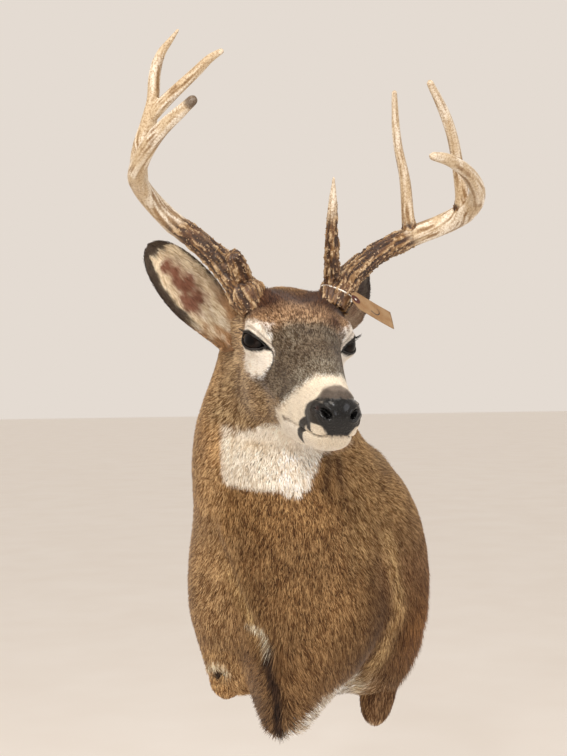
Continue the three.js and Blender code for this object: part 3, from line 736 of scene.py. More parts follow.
def stub_patch(start, end, radii):
    """A net round a short tapering stub with a rounded end."""
    start, end = np.array(start, float), np.array(end, float)
    axis = unit(end - start)
    across_stub = unit(np.cross(axis, [0.0, 1.0, 0.0]))
    fore = np.cross(axis, across_stub)
    length = np.linalg.norm(end - start)
    full = length + radii[1] - STUB_COAT
    at = np.sin(np.arange(STUB_ROWS) / STUB_ROWS * np.pi / 2) ** 1.1 * full
    past = np.clip((at - length * 0.8) / (full - length * 0.8), 0, 1)
    radius = (np.interp(at, [0, length], radii) - STUB_COAT) * np.sqrt(1 - past**2.6)
    radius = np.maximum(radius, 1.5)
    angle = np.arange(STUB_COLUMNS) / STUB_COLUMNS * math.tau
    around = across_stub * np.cos(angle)[:, None] + fore * np.sin(angle)[:, None]
    net = (start + axis * at[:, None])[:, None] + around[None] * radius[:, None, None]
    if (net_normals(net) * (net - net.mean(1, keepdims=True))).sum() < 0:
        net = net[:, ::-1]
    return {"net": net, "poles": (start, start + axis * full)}


patches = {
    "body": {
        "net": skin,
        "poles": (skin[0].mean(0) + forward * 0.6, skin[-1].mean(0) + np.array([0, 0, -0.5])),
    }
}
for name, shape in EARS.items():
    patches[name] = ear_patch(**shape)
for name, shape in STUBS.items():
    patches[name] = stub_patch(**shape)
for name, patch in patches.items():
    patch["normals"] = net_normals(patch["net"])
print({name: patch["net"].shape[:2] for name, patch in patches.items()})

# %% [markdown]
# ## The coat's colours
# A winter coat is brown with each guard hair ringed dark and pale. White shows round the eyes, behind
# the nose, under the jaw and on the throat; black borders the nose and the ears. The same colours are
# given to the skin and to the tufts over it, so that no other colour shows between the hairs.

# %% Colour tools
def linear(code):
    """An sRGB hex colour as linear numbers."""
    values = np.array([int(code[i:i + 2], 16) / 255 for i in (1, 3, 5)])
    return np.where(values <= 0.04045, values / 12.92, ((values + 0.055) / 1.055) ** 2.4)


TONES = {
    "neck": "#ae8556", "chest": "#815e39", "brisket": "#6e4e30", "left": "#ad865a", "flank": "#9b774c",
    "under_throat": "#88633b", "stripe": "#28150a", "dark": "#4d341f", "white": "#efe2cd",
    "cream": "#d9c4a4", "grizzle": "#554432", "bridge": "#74644f", "cheek": "#957651",
    "under_eye": "#6a5540", "forehead": "#936f4d", "crown": "#5e3f28", "red": "#4a2c1a",
    "temple": "#b08d64", "black": "#1b1512", "lip": "#241a15", "pad": "#0c0b0b", "nostril": "#2a1410",
    "grey": "#75685e", "lid": "#100c0a", "hide": "#b39a7c", "ear_back": "#8a6d52",
    "ear_dark": "#2b1c13", "ear_cream": "#d3bfa1", "ear_skin": "#6e3c28", "tan": "#a98660",
    "bright": "#f7eee1", "throat": "#e6dac8", "pale": "#b5905f", "shoulder": "#785537",
    "fringe": "#88592c",
}
TONES = {name: linear(code) for name, code in TONES.items()}
print(len(TONES), "tones in the coat")


def painter(tone, shape):
    """Colours that start as one tone, and a function that lays another over them where a mask is 1."""
    colour = np.broadcast_to(TONES[tone], shape).copy()

    def lay(tone, mask):
        colour[...] += (TONES[tone] - colour) * np.clip(mask, 0, 1)[..., None]

    return colour, lay

# %% Colours of the neck and trunk
THROAT_EDGE = [
    (-112, 205), (-108, 150), (-98, 140), (-67, 135), (-40, 134), (-25, 129), (-14, 124), (-3, 134),
    (5, 152), (18, 180),
]
PATCH_STREAKS = [[(25, 0, 176), (22, 0, 152), (17, 0, 134)], [(36, 0, 172), (37, 0, 142)]]
ARCH_EDGE = [(-28, 0, -174), (-9, 0, -157), (4, 0, -139), (18, 0, -125), (34, 0, -115)]


def front_distance(points, line):
    """Distance from a drawn line as seen from in front, so that depth doesn't count."""
    return stroke_distance(points * [1, 0, 1], np.array(line, float) * [1, 0, 1])[0]


def trunk_tones(world, normals):
    """Colours of the coat behind the head, and how strongly its hairs differ."""
    x, y, z = np.moveaxis(world, -1, 0)
    ragged = 3.0 * cloud(world, 9, 21) + 2.2 * cloud(world, 3.5, 22)
    colour, lay = painter("chest", world.shape)
    # Tawny up the neck, darker down the chest and over the shoulders.
    lay("neck", smooth(z, 110, 210))
    # painted light: the left of the neck and shoulders, the side the key light comes from, is laid lighter
    lay("left", smooth(-x, 70, 125) * 0.75)
    lay("brisket", smooth(-z, 10, 90) * 0.35)
    lay("flank", smooth(x, 32, 62) * smooth(z, 20, 60) * 0.85)
    lay("shoulder", smooth(x, 62, 100) * (1 - smooth(z, 10, 130)) * 0.85)
    # painted shade: the lower right of the chest, in the shadow beside the right crease, is darkened
    lay("brisket", smooth(x, 50, 95) * (1 - smooth(z, -60, 40)) * 0.95)
    lay("dark", smooth(x, 50, 95) * (1 - smooth(z, -60, 40)) * 0.25)
    lay("under_throat", smooth(z, 60, 100) * smooth(-np.abs(x + 40), -85, -55) * smooth(-y, 205, 225))
    # Folds over the shoulders: pale where they face the light, dark beside them.
    front = smooth(-y, 60, 130)
    left_crease = front_distance(world, LEFT_CREASE)
    right_crease = front_distance(world, RIGHT_CREASE)
    light = band(left_crease + ragged, 9) * smooth(-z, -80, 10)
    lay("pale", light * 0.75 * front)
    shade = band(front_distance(world - np.array([27, 0, 0]), LEFT_CREASE), 19)
    lay("dark", shade * 0.26 * front)
    shade = band(front_distance(world + np.array([26, 0, 6]), RIGHT_CREASE), 20)
    lay("dark", shade * smooth(-z, -40, 20) * 0.45 * front)
    lay("pale", band(right_crease + ragged, 8) * 0.7 * front)
    # The dark stripe down the chest, with pale curls at its top.
    keel = smooth(-y, 120, 180)
    stripe = front_distance(world, STRIPE)
    beside_stripe = smooth(-stripe + ragged, -32, -4) * mix(0.3, 0.62, smooth(-z, 100, 135))
    lay("dark", beside_stripe * smooth(-z, 45, 62) * keel)
    lay("stripe", smooth(-stripe + ragged, -9.5, -3) * smooth(-z, 48, 60) * 0.95 * keel)
    curls = front_distance(world, [(-72, 0, -31), (-60, 0, -33), (-52, 0, -43), (-50, 0, -56)])
    lay("cream", smooth(-curls + ragged * 1.2, -5.5, -1) * 0.9 * front)
    for line in PATCH_STREAKS:
        lay("dark", band(front_distance(world, line), 5) * 0.75 * front)
    # The white throat patch, with a painted shadow in cream along the crease under the jaw.
    low_edge = np.interp(x, *zip(*THROAT_EDGE))
    patch = smooth(z - low_edge + ragged, -3, 4) * smooth(-x, -26, -17) * smooth(x, -113, -102)
    patch = patch * smooth(-y, 150, 175) * (1 - smooth(z, 214, 226))
    lay("throat", patch)
    lay("cream", patch * smooth(cloud(world, (5, 5, 22), 25), 0.1, 0.9) * 0.35)
    # painted shadow: cream along the crease where the jaw shades the throat patch
    lay("cream", patch * stroke(world, JAW_CREASE, 7) * 0.9)
    lay("bright", patch * smooth(x, -60, -30) * 0.5)
    # White belly hair turned under between the stubs.
    under = smooth(-normals[..., 2] + ragged * 0.02, 0.62, 0.84) * smooth(-z, 95, 120)
    lay("tan", smooth(-normals[..., 2], 0.45, 0.7) * smooth(-z, 95, 120) * 0.5)
    lay("white", under * smooth(x + ragged * 5, -44, -8) * smooth(ragged * 5 - x, -84, -46))
    arch = smooth(-front_distance(world, ARCH_EDGE) + ragged, -15, -9) * smooth(-y, 150, 180)
    lay("white", arch * 0.95)
    # Round the puckered hole of the right stub, with painted shade in the hole.
    hole = hole_distance(world)
    lay("neck", smooth(-hole + ragged, -52, -34) * 0.8)
    lay("cream", band(hole - 13, 5) * smooth(z, -116, -104) * 0.8)
    # painted shade: the hole itself is laid near black
    lay("stripe", smooth(-hole, -7.5, -4.5))
    lay("cream", spot(world, (60, -138, -128), (9, 30, 11)) * 1.1)
    lay("fringe", spot(world, (136, -120, -60), (30, 70, 60)) * 0.9)
    back = smooth(normals[..., 1], 0.6, 0.85) * smooth(y, BACK_PLANE - 14, BACK_PLANE - 5)
    lay("hide", back)
    colour *= np.exp(0.13 * cloud(world, 38, 23) + 0.10 * cloud(world, (7, 7, 22), 24))[..., None]
    contrast = mix(mix(1.05, 0.34, patch), 0.14, back)
    return colour, contrast

# %% Colours of the head
WHITE_HEIGHTS = [-60, -52, -31, -14, 0, 12, 14, 17]
WHITE_STARTS = [58, 82, 103, 119, 134, 142, 150, 156]
JAW_PLACES = [-60, -45, -27, -8, 30, 60, 88, 102]
JAW_HEIGHTS = [-152, -142, -121, -104, -91, -76, -61, -50]
ABOVE_PAD = (184, -4, 6), (14, 22, 12)  # centre and radii
NOSE_SIDE = (177, 25, -18), (25, 18, 22)
UPPER_LIP = (194, 19, -31), (14, 13, 7.5)
LIP_SPOT_HEIGHTS = [-76, -67, -55, -46, -38, -28]
LIP_SPOT_BACKS = [121, 129, 135, 138, 144, 158]
LIP_SPOT_FRONTS = [122, 138, 155, 161, 166, 176]


def shell(points, centre, radii):
    """1 on an ellipsoid, less inside it and more outside."""
    return np.linalg.norm((points - np.array(centre)) / radii, axis=-1)


def head_tones(head, lids):
    """Colours of the head, and how strongly its hairs differ."""
    face = mirrored(head)
    x, y, z = np.moveaxis(face, -1, 0)
    ragged = 2.2 * cloud(head, 6, 31) + 1.8 * cloud(head, 2.4, 32)
    colour, lay = painter("cheek", head.shape)
    # A grizzled face, warmer in patches and paler on the bridge.
    lay("temple", smooth(-x, 5, 30) * smooth(z, -70, -20))
    grizzled = smooth(x + ragged, -8, 18) * (1 - smooth(x, 150, 165)) * smooth(z + ragged * 2, -54, -34)
    lay("grizzle", grizzled * 0.92)
    tan_mix = smooth(cloud(head, (26, 14, 20), 35) - 0.02 * (x - 10), -0.1, 0.7)
    lay("cheek", grizzled * tan_mix * 0.45)
    lay("bridge", grizzled * smooth(x, 84, 118) * 0.9)
    lay("bridge", grizzled * stroke(face, [(20, 22, 34), (60, 22, 22)], 9) * 0.5)
    lay("under_eye", spot(face, (34, 46, -42), (26, 20, 11)) * 0.9)
    # The crown.
    top = smooth(z + ragged, 16, 30) * (1 - smooth(x, 8, 34))
    lay("forehead", top)
    lay("crown", top * smooth(-x, 26, 48))
    lay("red", spot(face, (-46, 38, 43), (30, 28, 24)) * 1.5)
    lay("red", spot(face, (-78, 6, 48), (26, 40, 20)) * 0.95)
    # The pale ring round the eye.
    ring_reach = mix(42, mix(34, 24, smooth(z, 0, 14)), x > 4)
    ring_drop = 34 + 0.22 * np.clip(12 - x, 0, 40)
    ring = np.hypot((x - 4) / ring_reach, (z + 4) / mix(31, ring_drop, z < -4))
    feather = mix(0.10, 0.19, smooth(-z, 8, 30))
    ring = smooth(1 - ring + ragged * 0.04, -feather, feather) * smooth(x, -50, -32) * (y > 20)
    lay("bright", ring * 0.97)
    lay("cream", ring * smooth(cloud(head, (9, 9, 5), 36), 0.1, 1.0) * 0.45)
    lay("red", spot(head, (7, 37, 33), (13, 10, 9)) * 1.1)
    # White behind the nose and along the jaw.
    white = smooth(x - np.interp(z, WHITE_HEIGHTS, WHITE_STARTS) + ragged * 1.7, -14, 9)
    jaw = smooth(np.interp(x, JAW_PLACES, JAW_HEIGHTS) - z + ragged * 1.4, -4, 7)
    white = np.maximum(white, jaw)
    lay("white", white)
    lay("bright", jaw * 0.6)
    lay("cream", white * smooth(z, -52, -38) * smooth(-x, -112, -70) * 0.22)
    # Borders of the nose, and the dark spot on the lip.
    lay("grey", smooth(-shell(head, *ABOVE_PAD) + ragged * 0.07, -1.3, -0.7) * 0.95)
    below_slope = smooth(0.7 * (x - 153) - 17 - z + ragged * 0.5, -1, 2)
    lay("black", smooth(-shell(face, *NOSE_SIDE) + ragged * 0.05, -1.12, -0.9) * below_slope * 0.97)
    lay("white", smooth(-shell(face, *UPPER_LIP) + ragged * 0.04, -1.1, -0.9))
    behind = x - np.interp(z, LIP_SPOT_HEIGHTS, LIP_SPOT_BACKS)
    before = np.interp(z, LIP_SPOT_HEIGHTS, LIP_SPOT_FRONTS) - x
    blotch = smooth(np.minimum(behind, before) + ragged * 0.5, -0.5, 2.0) * (z < -27) * (z > -76)
    lay("black", blotch * 0.97)
    # Mouth, nose pad, nostrils and lids, with painted shade in the fold over each upper lid.
    mouth, along = stroke_distance(face, MOUTH)
    lay("lip", smooth(-mouth, -2.0, -0.9) * smooth(along, 0.02, 0.25))
    lay("under_eye", smooth(-mouth + ragged * 0.5, -4.5, -2) * (1 - smooth(along, 0.2, 0.34)) * 0.8)
    lay("black", pad_mask(head * [1, 0.85, 1] - [0, 0, 4]) * 0.5)
    pad = pad_mask(head)
    lay("pad", pad)
    slit, place = stroke_distance(face, NOSTRIL_LINE)
    lay("nostril", smooth(-slit, -3.1, -1.8) * (1 - smooth(place, 0.8, 1)))
    # painted shade: a darker band in the fold over each upper lid
    lay("under_eye", band(lids - 6.5, 1.3) * smooth(z, 2, 9) * 0.75)
    lay("lid", smooth(-lids, -3.4, -2.0))
    lay("lid", smooth(-front_distance(face, TEAR_LINE), -3.6, -2.0) * (y > 25))
    colour *= np.exp(0.10 * cloud(head, 16, 33))[..., None]
    contrast = 1.15 + 0.35 * grizzled
    contrast = mix(contrast, 0.12, np.maximum(np.maximum(white, ring), pad))
    return colour, contrast


def body_tones(world, normals, lids):
    head = to_head(world)
    share = smooth(head[..., 0], -118, -62) * smooth(head[..., 2], -150, -116)
    front, front_contrast = head_tones(head, lids)
    rear, rear_contrast = trunk_tones(world, normals)
    return mix(rear, front, share[..., None]), mix(rear_contrast, front_contrast, share)


# %% Colours of the ears
def ear_tones(marks, world, near_head):
    """Dark rim, cream hollow side with bare reddish skin in it and painted shade deep in it, and a
    grey-brown back.
    """
    low, s, inner = marks["low"], marks["s"], marks["inner"]
    ragged = 0.08 * cloud(world, 8, 41) + 0.06 * cloud(world, 3, 42)
    colour, lay = painter("ear_back", world.shape)
    lay("ear_dark", smooth(s + ragged, 0.66, 0.9) * 0.85)
    hollow, lay_inside = painter("ear_cream", world.shape)
    lay_inside("white", smooth(ragged * 4, 0.0, 0.4) * 0.6)
    bare = band(low + 0.02, 0.42) * smooth(s, 0.32, 0.46) * (1 - smooth(s, 0.78, 0.9))
    bare += 0.8 * band(low - 0.40, 0.22) * band(s - 0.46, 0.1)
    streaks = 0.3 * cloud(world, (3, 3, 11), 43)
    lay_inside("ear_skin", smooth(bare + ragged * 4.0 + streaks, 0.12, 0.95) * 0.95)
    # painted shade: the hollow is darkened towards its middle and its base, where the ear shades it
    hollow *= mix(1.0, 0.72, smooth(0.7 - np.abs(low), 0, 0.6) * smooth(-s, -0.75, -0.3))[..., None]
    colour[...] = mix(colour, hollow, inner[..., None])
    lay("ear_back", inner * smooth(-low + ragged * 2, 0.42, 0.62) * (1 - smooth(s, 0.3, 0.62)))
    rim = mix(0.70, 0.52, smooth(s, 0.55, 0.95))
    lower = smooth(low + ragged, rim - 0.03, rim + 0.05) * smooth(s, 0.22, 0.42)
    upper = smooth(ragged - low, 0.9, 0.98) * smooth(s, 0.3, 0.5)
    tip = smooth(s + ragged * 0.5, 0.88, 0.93)
    lay("ear_dark", np.maximum(np.maximum(lower, upper), tip) * 0.96)
    lay("forehead", 1 - smooth(s + ragged * 1.5, 0.13, 0.27))
    lay("forehead", smooth(-low + ragged, 0.4, 0.75) * (1 - smooth(s, 0.22, 0.40)))
    if near_head:
        lay("ear_dark", inner * smooth(s + ragged, 0.5, 0.7) * 0.9)
        lay("ear_back", inner * (1 - smooth(s + ragged, 0.5, 0.66)) * 0.8)
    contrast = mix(0.8, 0.45, inner)
    return colour, contrast


for name, patch in patches.items():
    if name == "body":
        patch["colour"], patch["contrast"] = body_tones(patch["net"], patch["normals"], beside_lids)
    elif name in EARS:
        patch["colour"], patch["contrast"] = ear_tones(patch["marks"], patch["net"], name == "ear_left")
    else:
        patch["colour"], patch["contrast"] = trunk_tones(patch["net"], patch["normals"])
print("mean colour of the body", patches["body"]["colour"].mean((0, 1)).round(3))

# %% [markdown]
# ## Making meshes and materials
# Meshes are filled straight from arrays, which is quick for many thousands of faces. One function adds
# a node with its settings and links. Colours that differ from place to place are kept on the mesh as a
# colour attribute, which the material reads.

# %% Meshes from arrays
def make_mesh(name, points, triangles, colours=None, corner_uv=None, normals=None):
    """An object from millimetre points and triangles, smooth shaded."""
    mesh = bpy.data.meshes.new(name)
    mesh.vertices.add(len(points))
    mesh.vertices.foreach_set("co", (np.asarray(points) * MM).astype(np.float32).ravel())
    mesh.loops.add(triangles.size)
    mesh.loops.foreach_set("vertex_index", triangles.astype(np.int32).ravel())
    mesh.polygons.add(len(triangles))
    mesh.polygons.foreach_set("loop_start", np.arange(0, triangles.size, 3, dtype=np.int32))
    mesh.polygons.foreach_set("use_smooth", np.ones(len(triangles), bool))
    mesh.update(calc_edges=True)
    if colours is not None:
        layer = mesh.color_attributes.new("hair_colour", "FLOAT_COLOR", "POINT")
        rgba = np.concatenate([np.clip(colours, 0.001, 1), np.ones((len(points), 1))], axis=1)
        layer.data.foreach_set("color", rgba.astype(np.float32).ravel())
    if corner_uv is not None:
        layer = mesh.uv_layers.new(name="OFBake")
        layer.uv.foreach_set("vector", corner_uv.astype(np.float32).ravel())
    if normals is not None:
        mesh.normals_split_custom_set_from_vertices(normals.astype(np.float32))
    piece = bpy.data.objects.new(name, mesh)
    bpy.context.scene.collection.objects.link(piece)
    return piece


def net_triangles(rows, columns):
    """Triangles of a net, as (row, column) pairs and as point numbers. A pole closes each end."""
    row, column = np.meshgrid(np.arange(rows - 1), np.arange(columns), indexing="ij")
    row, column = row.ravel(), column.ravel()
    a, b = np.stack([row, column], 1), np.stack([row + 1, column], 1)
    c, d = np.stack([row + 1, column + 1], 1), np.stack([row, column + 1], 1)
    triangles = [np.stack([a, b, c], 1), np.stack([a, c, d], 1)]
    k = np.arange(columns)
    last = rows - 1
    for corners in (((-1, k), (0, k), (0, k + 1)), ((last, k), (rows, k), (last, k + 1))):
        triangles.append(np.stack([np.stack([np.full(columns, r), col], 1) for r, col in corners], 1))
    pairs = np.concatenate(triangles)
    index = pairs[..., 0] * columns + pairs[..., 1] % columns
    index = np.where(pairs[..., 0] < 0, rows * columns, index)
    return pairs, np.where(pairs[..., 0] > last, rows * columns + 1, index)


print("a net of 4 rows and 5 columns has", len(net_triangles(4, 5)[0]), "triangles")


# %% Nodes and materials
def node(tree, kind, inputs=None, **settings):
    """Adds a node. An input is a value, a socket, or a node that feeds it from its first output in use."""
    made = tree.nodes.new(kind)
    for key, value in settings.items():
        setattr(made, key, value)
    for key, value in (inputs or {}).items():
        if isinstance(value, bpy.types.Node):
            value = next(socket for socket in value.outputs if socket.enabled)
        if isinstance(value, bpy.types.NodeSocket):
            tree.links.new(value, made.inputs[key])
        else:
            made.inputs[key].default_value = value
    return made


def new_material(name):
    material = bpy.data.materials.new(name)
    material.use_nodes = True
    material.node_tree.nodes.clear()
    return material, material.node_tree


# %% Colours and finishes
MULTIPLIED = {"data_type": "RGBA", "blend_type": "MULTIPLY"}


def own_colour_and_place(tree):
    """Sockets of the mesh's own colours and of the place in its object."""
    colour = node(tree, "ShaderNodeAttribute", attribute_name="hair_colour").outputs["Color"]
    return colour, node(tree, "ShaderNodeTexCoord").outputs["Object"]


def finish_surface(tree, inputs):
    shader = node(tree, "ShaderNodeBsdfPrincipled", inputs)
    node(tree, "ShaderNodeOutputMaterial", {"Surface": shader.outputs["BSDF"]})


def rgba(code):
    return (*linear(code), 1.0)


def ramp(tree, factor, stops):
    """Colours blended along a factor."""
    made = node(tree, "ShaderNodeValToRGB", {"Fac": factor})
    elements = made.color_ramp.elements
    while len(elements) < len(stops):
        elements.new(0.5)
    for element, (place, code) in zip(elements, stops):
        element.position = place
        element.color = rgba(code)
    return made.outputs["Color"]


def mottled(name, noise, stops, surface, relief=None, stretch=None):
    """A material whose colour wanders between a few tones with one noise, which can also raise its grain."""
    material, tree = new_material(name)
    place = node(tree, "ShaderNodeTexCoord").outputs["Object"]
    if stretch:
        place = node(tree, "ShaderNodeMapping", {"Vector": place, "Scale": stretch})
    grain = node(tree, "ShaderNodeTexNoise", {"Vector": place, **noise})
    inputs = {"Base Color": ramp(tree, grain, stops), **surface}
    if relief:
        inputs["Normal"] = node(tree, "ShaderNodeBump", {"Height": grain, **relief})
    finish_surface(tree, inputs)
    return material


# %% [markdown]
# ## One skin over the whole mount
# Tanned hide runs unbroken from the nose to the board, ears and stubs too, so it is one mesh. Between
# the tufts only its dull, pored surface could show. The nose has no hair: it is pebbled black leather,
# painted and a little wet, and it is the same mesh with a second material.

# %% Hide and nose leather
def hide_material():
    """Deer hide under the hair: dull and darkened as painted shade, with pores 1.1 mm apart, coarser than
    real ones so that they show.
    """
    material, tree = new_material("deer_hide")
    colour, place = own_colour_and_place(tree)
    pores = node(tree, "ShaderNodeTexNoise", {"Vector": place, "Scale": 900.0, "Detail": 3.0})
    bump = node(tree, "ShaderNodeBump", {"Height": pores, "Strength": 0.5, "Distance": 0.0006})
    # painted shade: the hide's colour is multiplied down by about a quarter, as if shaded by the coat over
    # it
    shade = node(
        tree, "ShaderNodeMix", {"Factor": 1.0, "A": colour, "B": (0.72, 0.70, 0.68, 1)}, **MULTIPLIED,
    )
    finish_surface(tree, {"Base Color": shade, "Roughness": 0.85, "Normal": bump})
    return material


def nose_material():
    """Painted nose leather: black and pebbled, and a little wet in patches about 6 mm across.

    The pebbles are 2.3 mm across, which is coarser than real ones, so that they show.
    """
    material, tree = new_material("nose_leather")
    colour, place = own_colour_and_place(tree)
    pebbles = node(
        tree, "ShaderNodeTexVoronoi", {"Vector": place, "Scale": 430.0, "Smoothness": 0.35},
        feature="SMOOTH_F1",
    )
    patchy = node(tree, "ShaderNodeTexNoise", {"Vector": place, "Scale": 160.0, "Detail": 4.0})
    wet = {"From Min": 0.35, "From Max": 0.7, "To Min": 0.14, "To Max": 0.34}
    rough = node(tree, "ShaderNodeMapRange", {"Value": patchy, **wet})
    domed = {"Height": pebbles, "Strength": 0.9, "Distance": 0.0016}
    bump = node(tree, "ShaderNodeBump", domed, invert=True)
    finish_surface(tree, {
        "Base Color": colour, "Roughness": rough, "Normal": bump,
        "Specular IOR Level": 0.1, "Coat Weight": 0.5, "Coat Roughness": 0.15,
    })
    return material

# %% One skin
UV_AREAS = {
    "body": (0.0, 0.0, 0.78, 1.0), "ear_right": (0.79, 0.0, 0.89, 0.62), "ear_left": (0.90, 0.0, 1.0, 0.62),
    "leg_stub_right": (0.79, 0.64, 0.89, 1.0), "leg_stub_left": (0.90, 0.64, 1.0, 1.0),
}


def set_unwrap(patch, area):
    """Keeps the patch's unwrap: columns across its area and true lengths along it."""
    steps = np.linalg.norm(np.diff(patch["net"], axis=0), axis=-1).mean(1)
    along = np.concatenate([[0.5], 0.5 + np.cumsum(steps)])
    patch["along"] = (along / (along[-1] + 0.5)).clip(0.002, 0.998)
    patch["area"] = area


def unwrap(patch, row, column):
    """Place on the unwrap of a row and column, whole or not."""
    x0, y0, x1, y1 = patch["area"]
    along = np.interp(row, np.arange(len(patch["along"])), patch["along"])
    along = np.where(row < 0, 0.0, np.where(row > len(patch["along"]) - 1, 1.0, along))
    return np.stack([mix(x0, x1, column / patch["net"].shape[1]), mix(y0, y1, along)], -1)


def make_skin():
    points, colours, triangles, corner_uv, leather = [], [], [], [], []
    offset = 0
    for name, patch in patches.items():
        set_unwrap(patch, UV_AREAS[name])
        rows, columns = patch["net"].shape[:2]
        pairs, index = net_triangles(rows, columns)
        points += [patch["net"].reshape(-1, 3), np.array(patch["poles"])]
        colours.append(patch["colour"].reshape(-1, 3))
        colours += [patch["colour"][end].mean(0, keepdims=True) for end in (0, -1)]
        corner_uv.append(unwrap(patch, pairs[..., 0], pairs[..., 1]).reshape(-1, 2))
        triangles.append(index + offset)
        bare = np.zeros(rows * columns + 2)
        if name == "body":
            bare[:-2] = pad_mask(to_head(patch["net"])).ravel()
            bare[-2] = 1
        leather.append(bare[index].mean(1) > 0.4)
        offset += rows * columns + 2
    piece = make_mesh("skin", *map(np.concatenate, (points, triangles, colours, corner_uv)))
    piece.data.materials.append(hide_material())
    piece.data.materials.append(nose_material())
    piece.data.polygons.foreach_set("material_index", np.concatenate(leather).astype(np.int32))
    return piece


skin_piece = make_skin()
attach(skin_piece, "root")
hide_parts("head", "neck", "trunk", "ear_left", "ear_right", "leg_stub_left", "leg_stub_right")
print("skin", len(skin_piece.data.polygons), "triangles")

# %% [markdown]
# ## The coat
# Fur could be particle hair, but that is lost when a model is exported, so the coat is mesh: many
# thousands of thin closed spindles of six faces, each a small tuft of hairs. They root in the skin, lie
# along the body from nose to tail, and overlap like thatch. Each takes the skin's colour near its root
# and is a little darker or paler than its neighbours, as ringed guard hairs are.

# %% How the hair lies
# Tufts in mm at the stops of the coat's depth; the gap is how far apart they stand.
TUFT_STOPS = {
    "length": [2.4, 3.2, 5.0, 8.5, 10.5, 12.5, 17.0],
    "width": [0.7, 0.78, 0.92, 1.15, 1.25, 1.35, 1.5],
    "gap": [0.82, 0.95, 1.12, 1.39, 1.45, 1.54, 1.76],
    "clump": [1.5, 2.0, 3.0, 3.4, 2.7, 2.5, 2.7],
}


def body_coat():
    """Maps of the body's tufts: their gap, length, width, depth and lie, and where the skin is bare."""
    body = patches["body"]
    net, normals = body["net"], body["normals"]
    head = to_head(net)
    face = mirrored(head)
    rows = ROWS[:, None] * np.ones(COLUMNS)
    for key, values in TUFT_STOPS.items():
        body[key] = np.interp(rows, DEPTH_STOPS, values)
    from_behind = smooth(normals[..., 1], 0.05, 0.45) * smooth(rows, head_end, neck_start)
    body["gap"] *= 1 + 0.45 * from_behind
    body["width"] *= 1 + 0.25 * from_behind
    body["length"] *= 1 + 0.3 * from_behind
    body["depth"] = coat_depth.copy()
    near_eye = smooth(beside_eye, 22, 40)  # 0 at the eye
    for key, value in (("length", 3.2), ("width", 0.8), ("gap", 0.95)):
        body[key] = mix(value, body[key], near_eye)
    # Longer locks hang at the chest's tip, round the whorl, on the crown, by the ears and in the fringes.
    tip = spot(net, (-44, -252, -165), (40, 40, 34))
    crown_tuft = spot(face, (-50, 30, 46), (30, 30, 22)) * (0.7 + 0.6 * cloud(net, 12, 57))
    ear_front = spot(face, (-66, 62, -16), (20, 20, 46))
    fringe = spot(net, (136, -120, -60), (34, 80, 75)) + spot(net, (80, -110, 178), (30, 50, 26))
    whorl = spot(net, WHORL, (22, 30, 22))
    body["length"] *= 1 + 0.7 * tip + 0.8 * whorl + 0.9 * crown_tuft + 1.3 * ear_front + 1.2 * fringe
    body["stand"] = 0.9 * tip + 1.5 * whorl + 1.9 * np.clip(crown_tuft, 0, 1)
    body["stand"] += 0.5 * smooth(-net[..., 2], 60, 130)
    body["stand"] += 0.5 * ear_front + 1.5 * fringe
    body["stand"] *= 1 - 0.5 * spot(head, (-54, 4, 50), (44, 16, 18))
    # Hair lies from nose to tail, swept back over the neck and apart from the stripe, with slow swirls.
    lie = unit(np.gradient(net, axis=0))
    before_neck = 1 - smooth(rows, head_end - 20, neck_start)
    outward_from_stripe = net - np.array([-50, -262, 0])
    outward_from_stripe[..., 2] = 0
    near_stripe = smooth(-stroke_distance(net, STRIPE)[0], -95, -12) * smooth(-net[..., 2], 30, 70)
    backwards = np.array([0, 0.45, 0]) * (1 - before_neck)[..., None]
    lie = lie + backwards * smooth(np.abs(net[..., 0] + 20), 30, 110)[..., None]
    lie = lie + unit(outward_from_stripe) * (0.75 * near_stripe)[..., None]
    swirl = np.stack([0.5 * cloud(net, 46, 51), 0.5 * cloud(net, 46, 52), 0.3 * cloud(net, 46, 53)], -1)
    body["lie"] = lie + 0.55 * swirl * smooth(rows, 20, neck_start)[..., None]
    # Bare: the nose pad, the lids and tear line, the flat back, the stub's hole and the lips.
    bare = pad_mask(head) > 0.35
    bare |= beside_lids < 1.6
    bare |= (front_distance(face, TEAR_LINE) < 1.7) & (face[..., 1] > 25)
    bare |= (normals[..., 1] > 0.72) & (net[..., 1] > BACK_PLANE - 12)
    bare |= hole_distance(net) < 5
    mouth, along = stroke_distance(face, MOUTH)
    bare |= (mouth < 1.3) & (along > 0.2) & (head[..., 0] > 80)
    body["bare"] = bare


# %% Hair of the ears and stubs
def ear_and_stub_coat():
    """The same maps for the ears, longest in their hollows, and for the stubs."""
    for name, patch in patches.items():
        if name == "body":
            continue
        net = patch["net"]
        ones = np.ones(net.shape[:2])
        patch["lie"] = unit(np.gradient(net, axis=0))
        patch["stand"] = 0.0 * ones
        patch["bare"] = ones < 0
        patch["clump"] = 3.0 * ones
        if name in EARS:
            inner, low = patch["marks"]["inner"], patch["marks"]["low"]
            hollow = inner * smooth(1 - np.abs(low), 0.02, 0.2)
            patch["length"] = mix(6.5, 15.0, hollow) * mix(1.0, 0.75, smooth(patch["marks"]["s"], 0.6, 1))
            patch["width"] = mix(1.05, 1.15, inner)
            patch["gap"] = mix(1.25, 1.5, inner)
            patch["depth"] = mix(EAR_COAT, EAR_COAT * 1.6, hollow)
            patch["stand"] = 0.5 * hollow
        else:
            patch["length"], patch["width"], patch["gap"] = 15.0 * ones, 1.7 * ones, 1.8 * ones
            patch["depth"] = STUB_COAT * ones


body_coat()
ear_and_stub_coat()
print("tufts on the body are", patches["body"]["length"].min().round(1), "mm long or more")

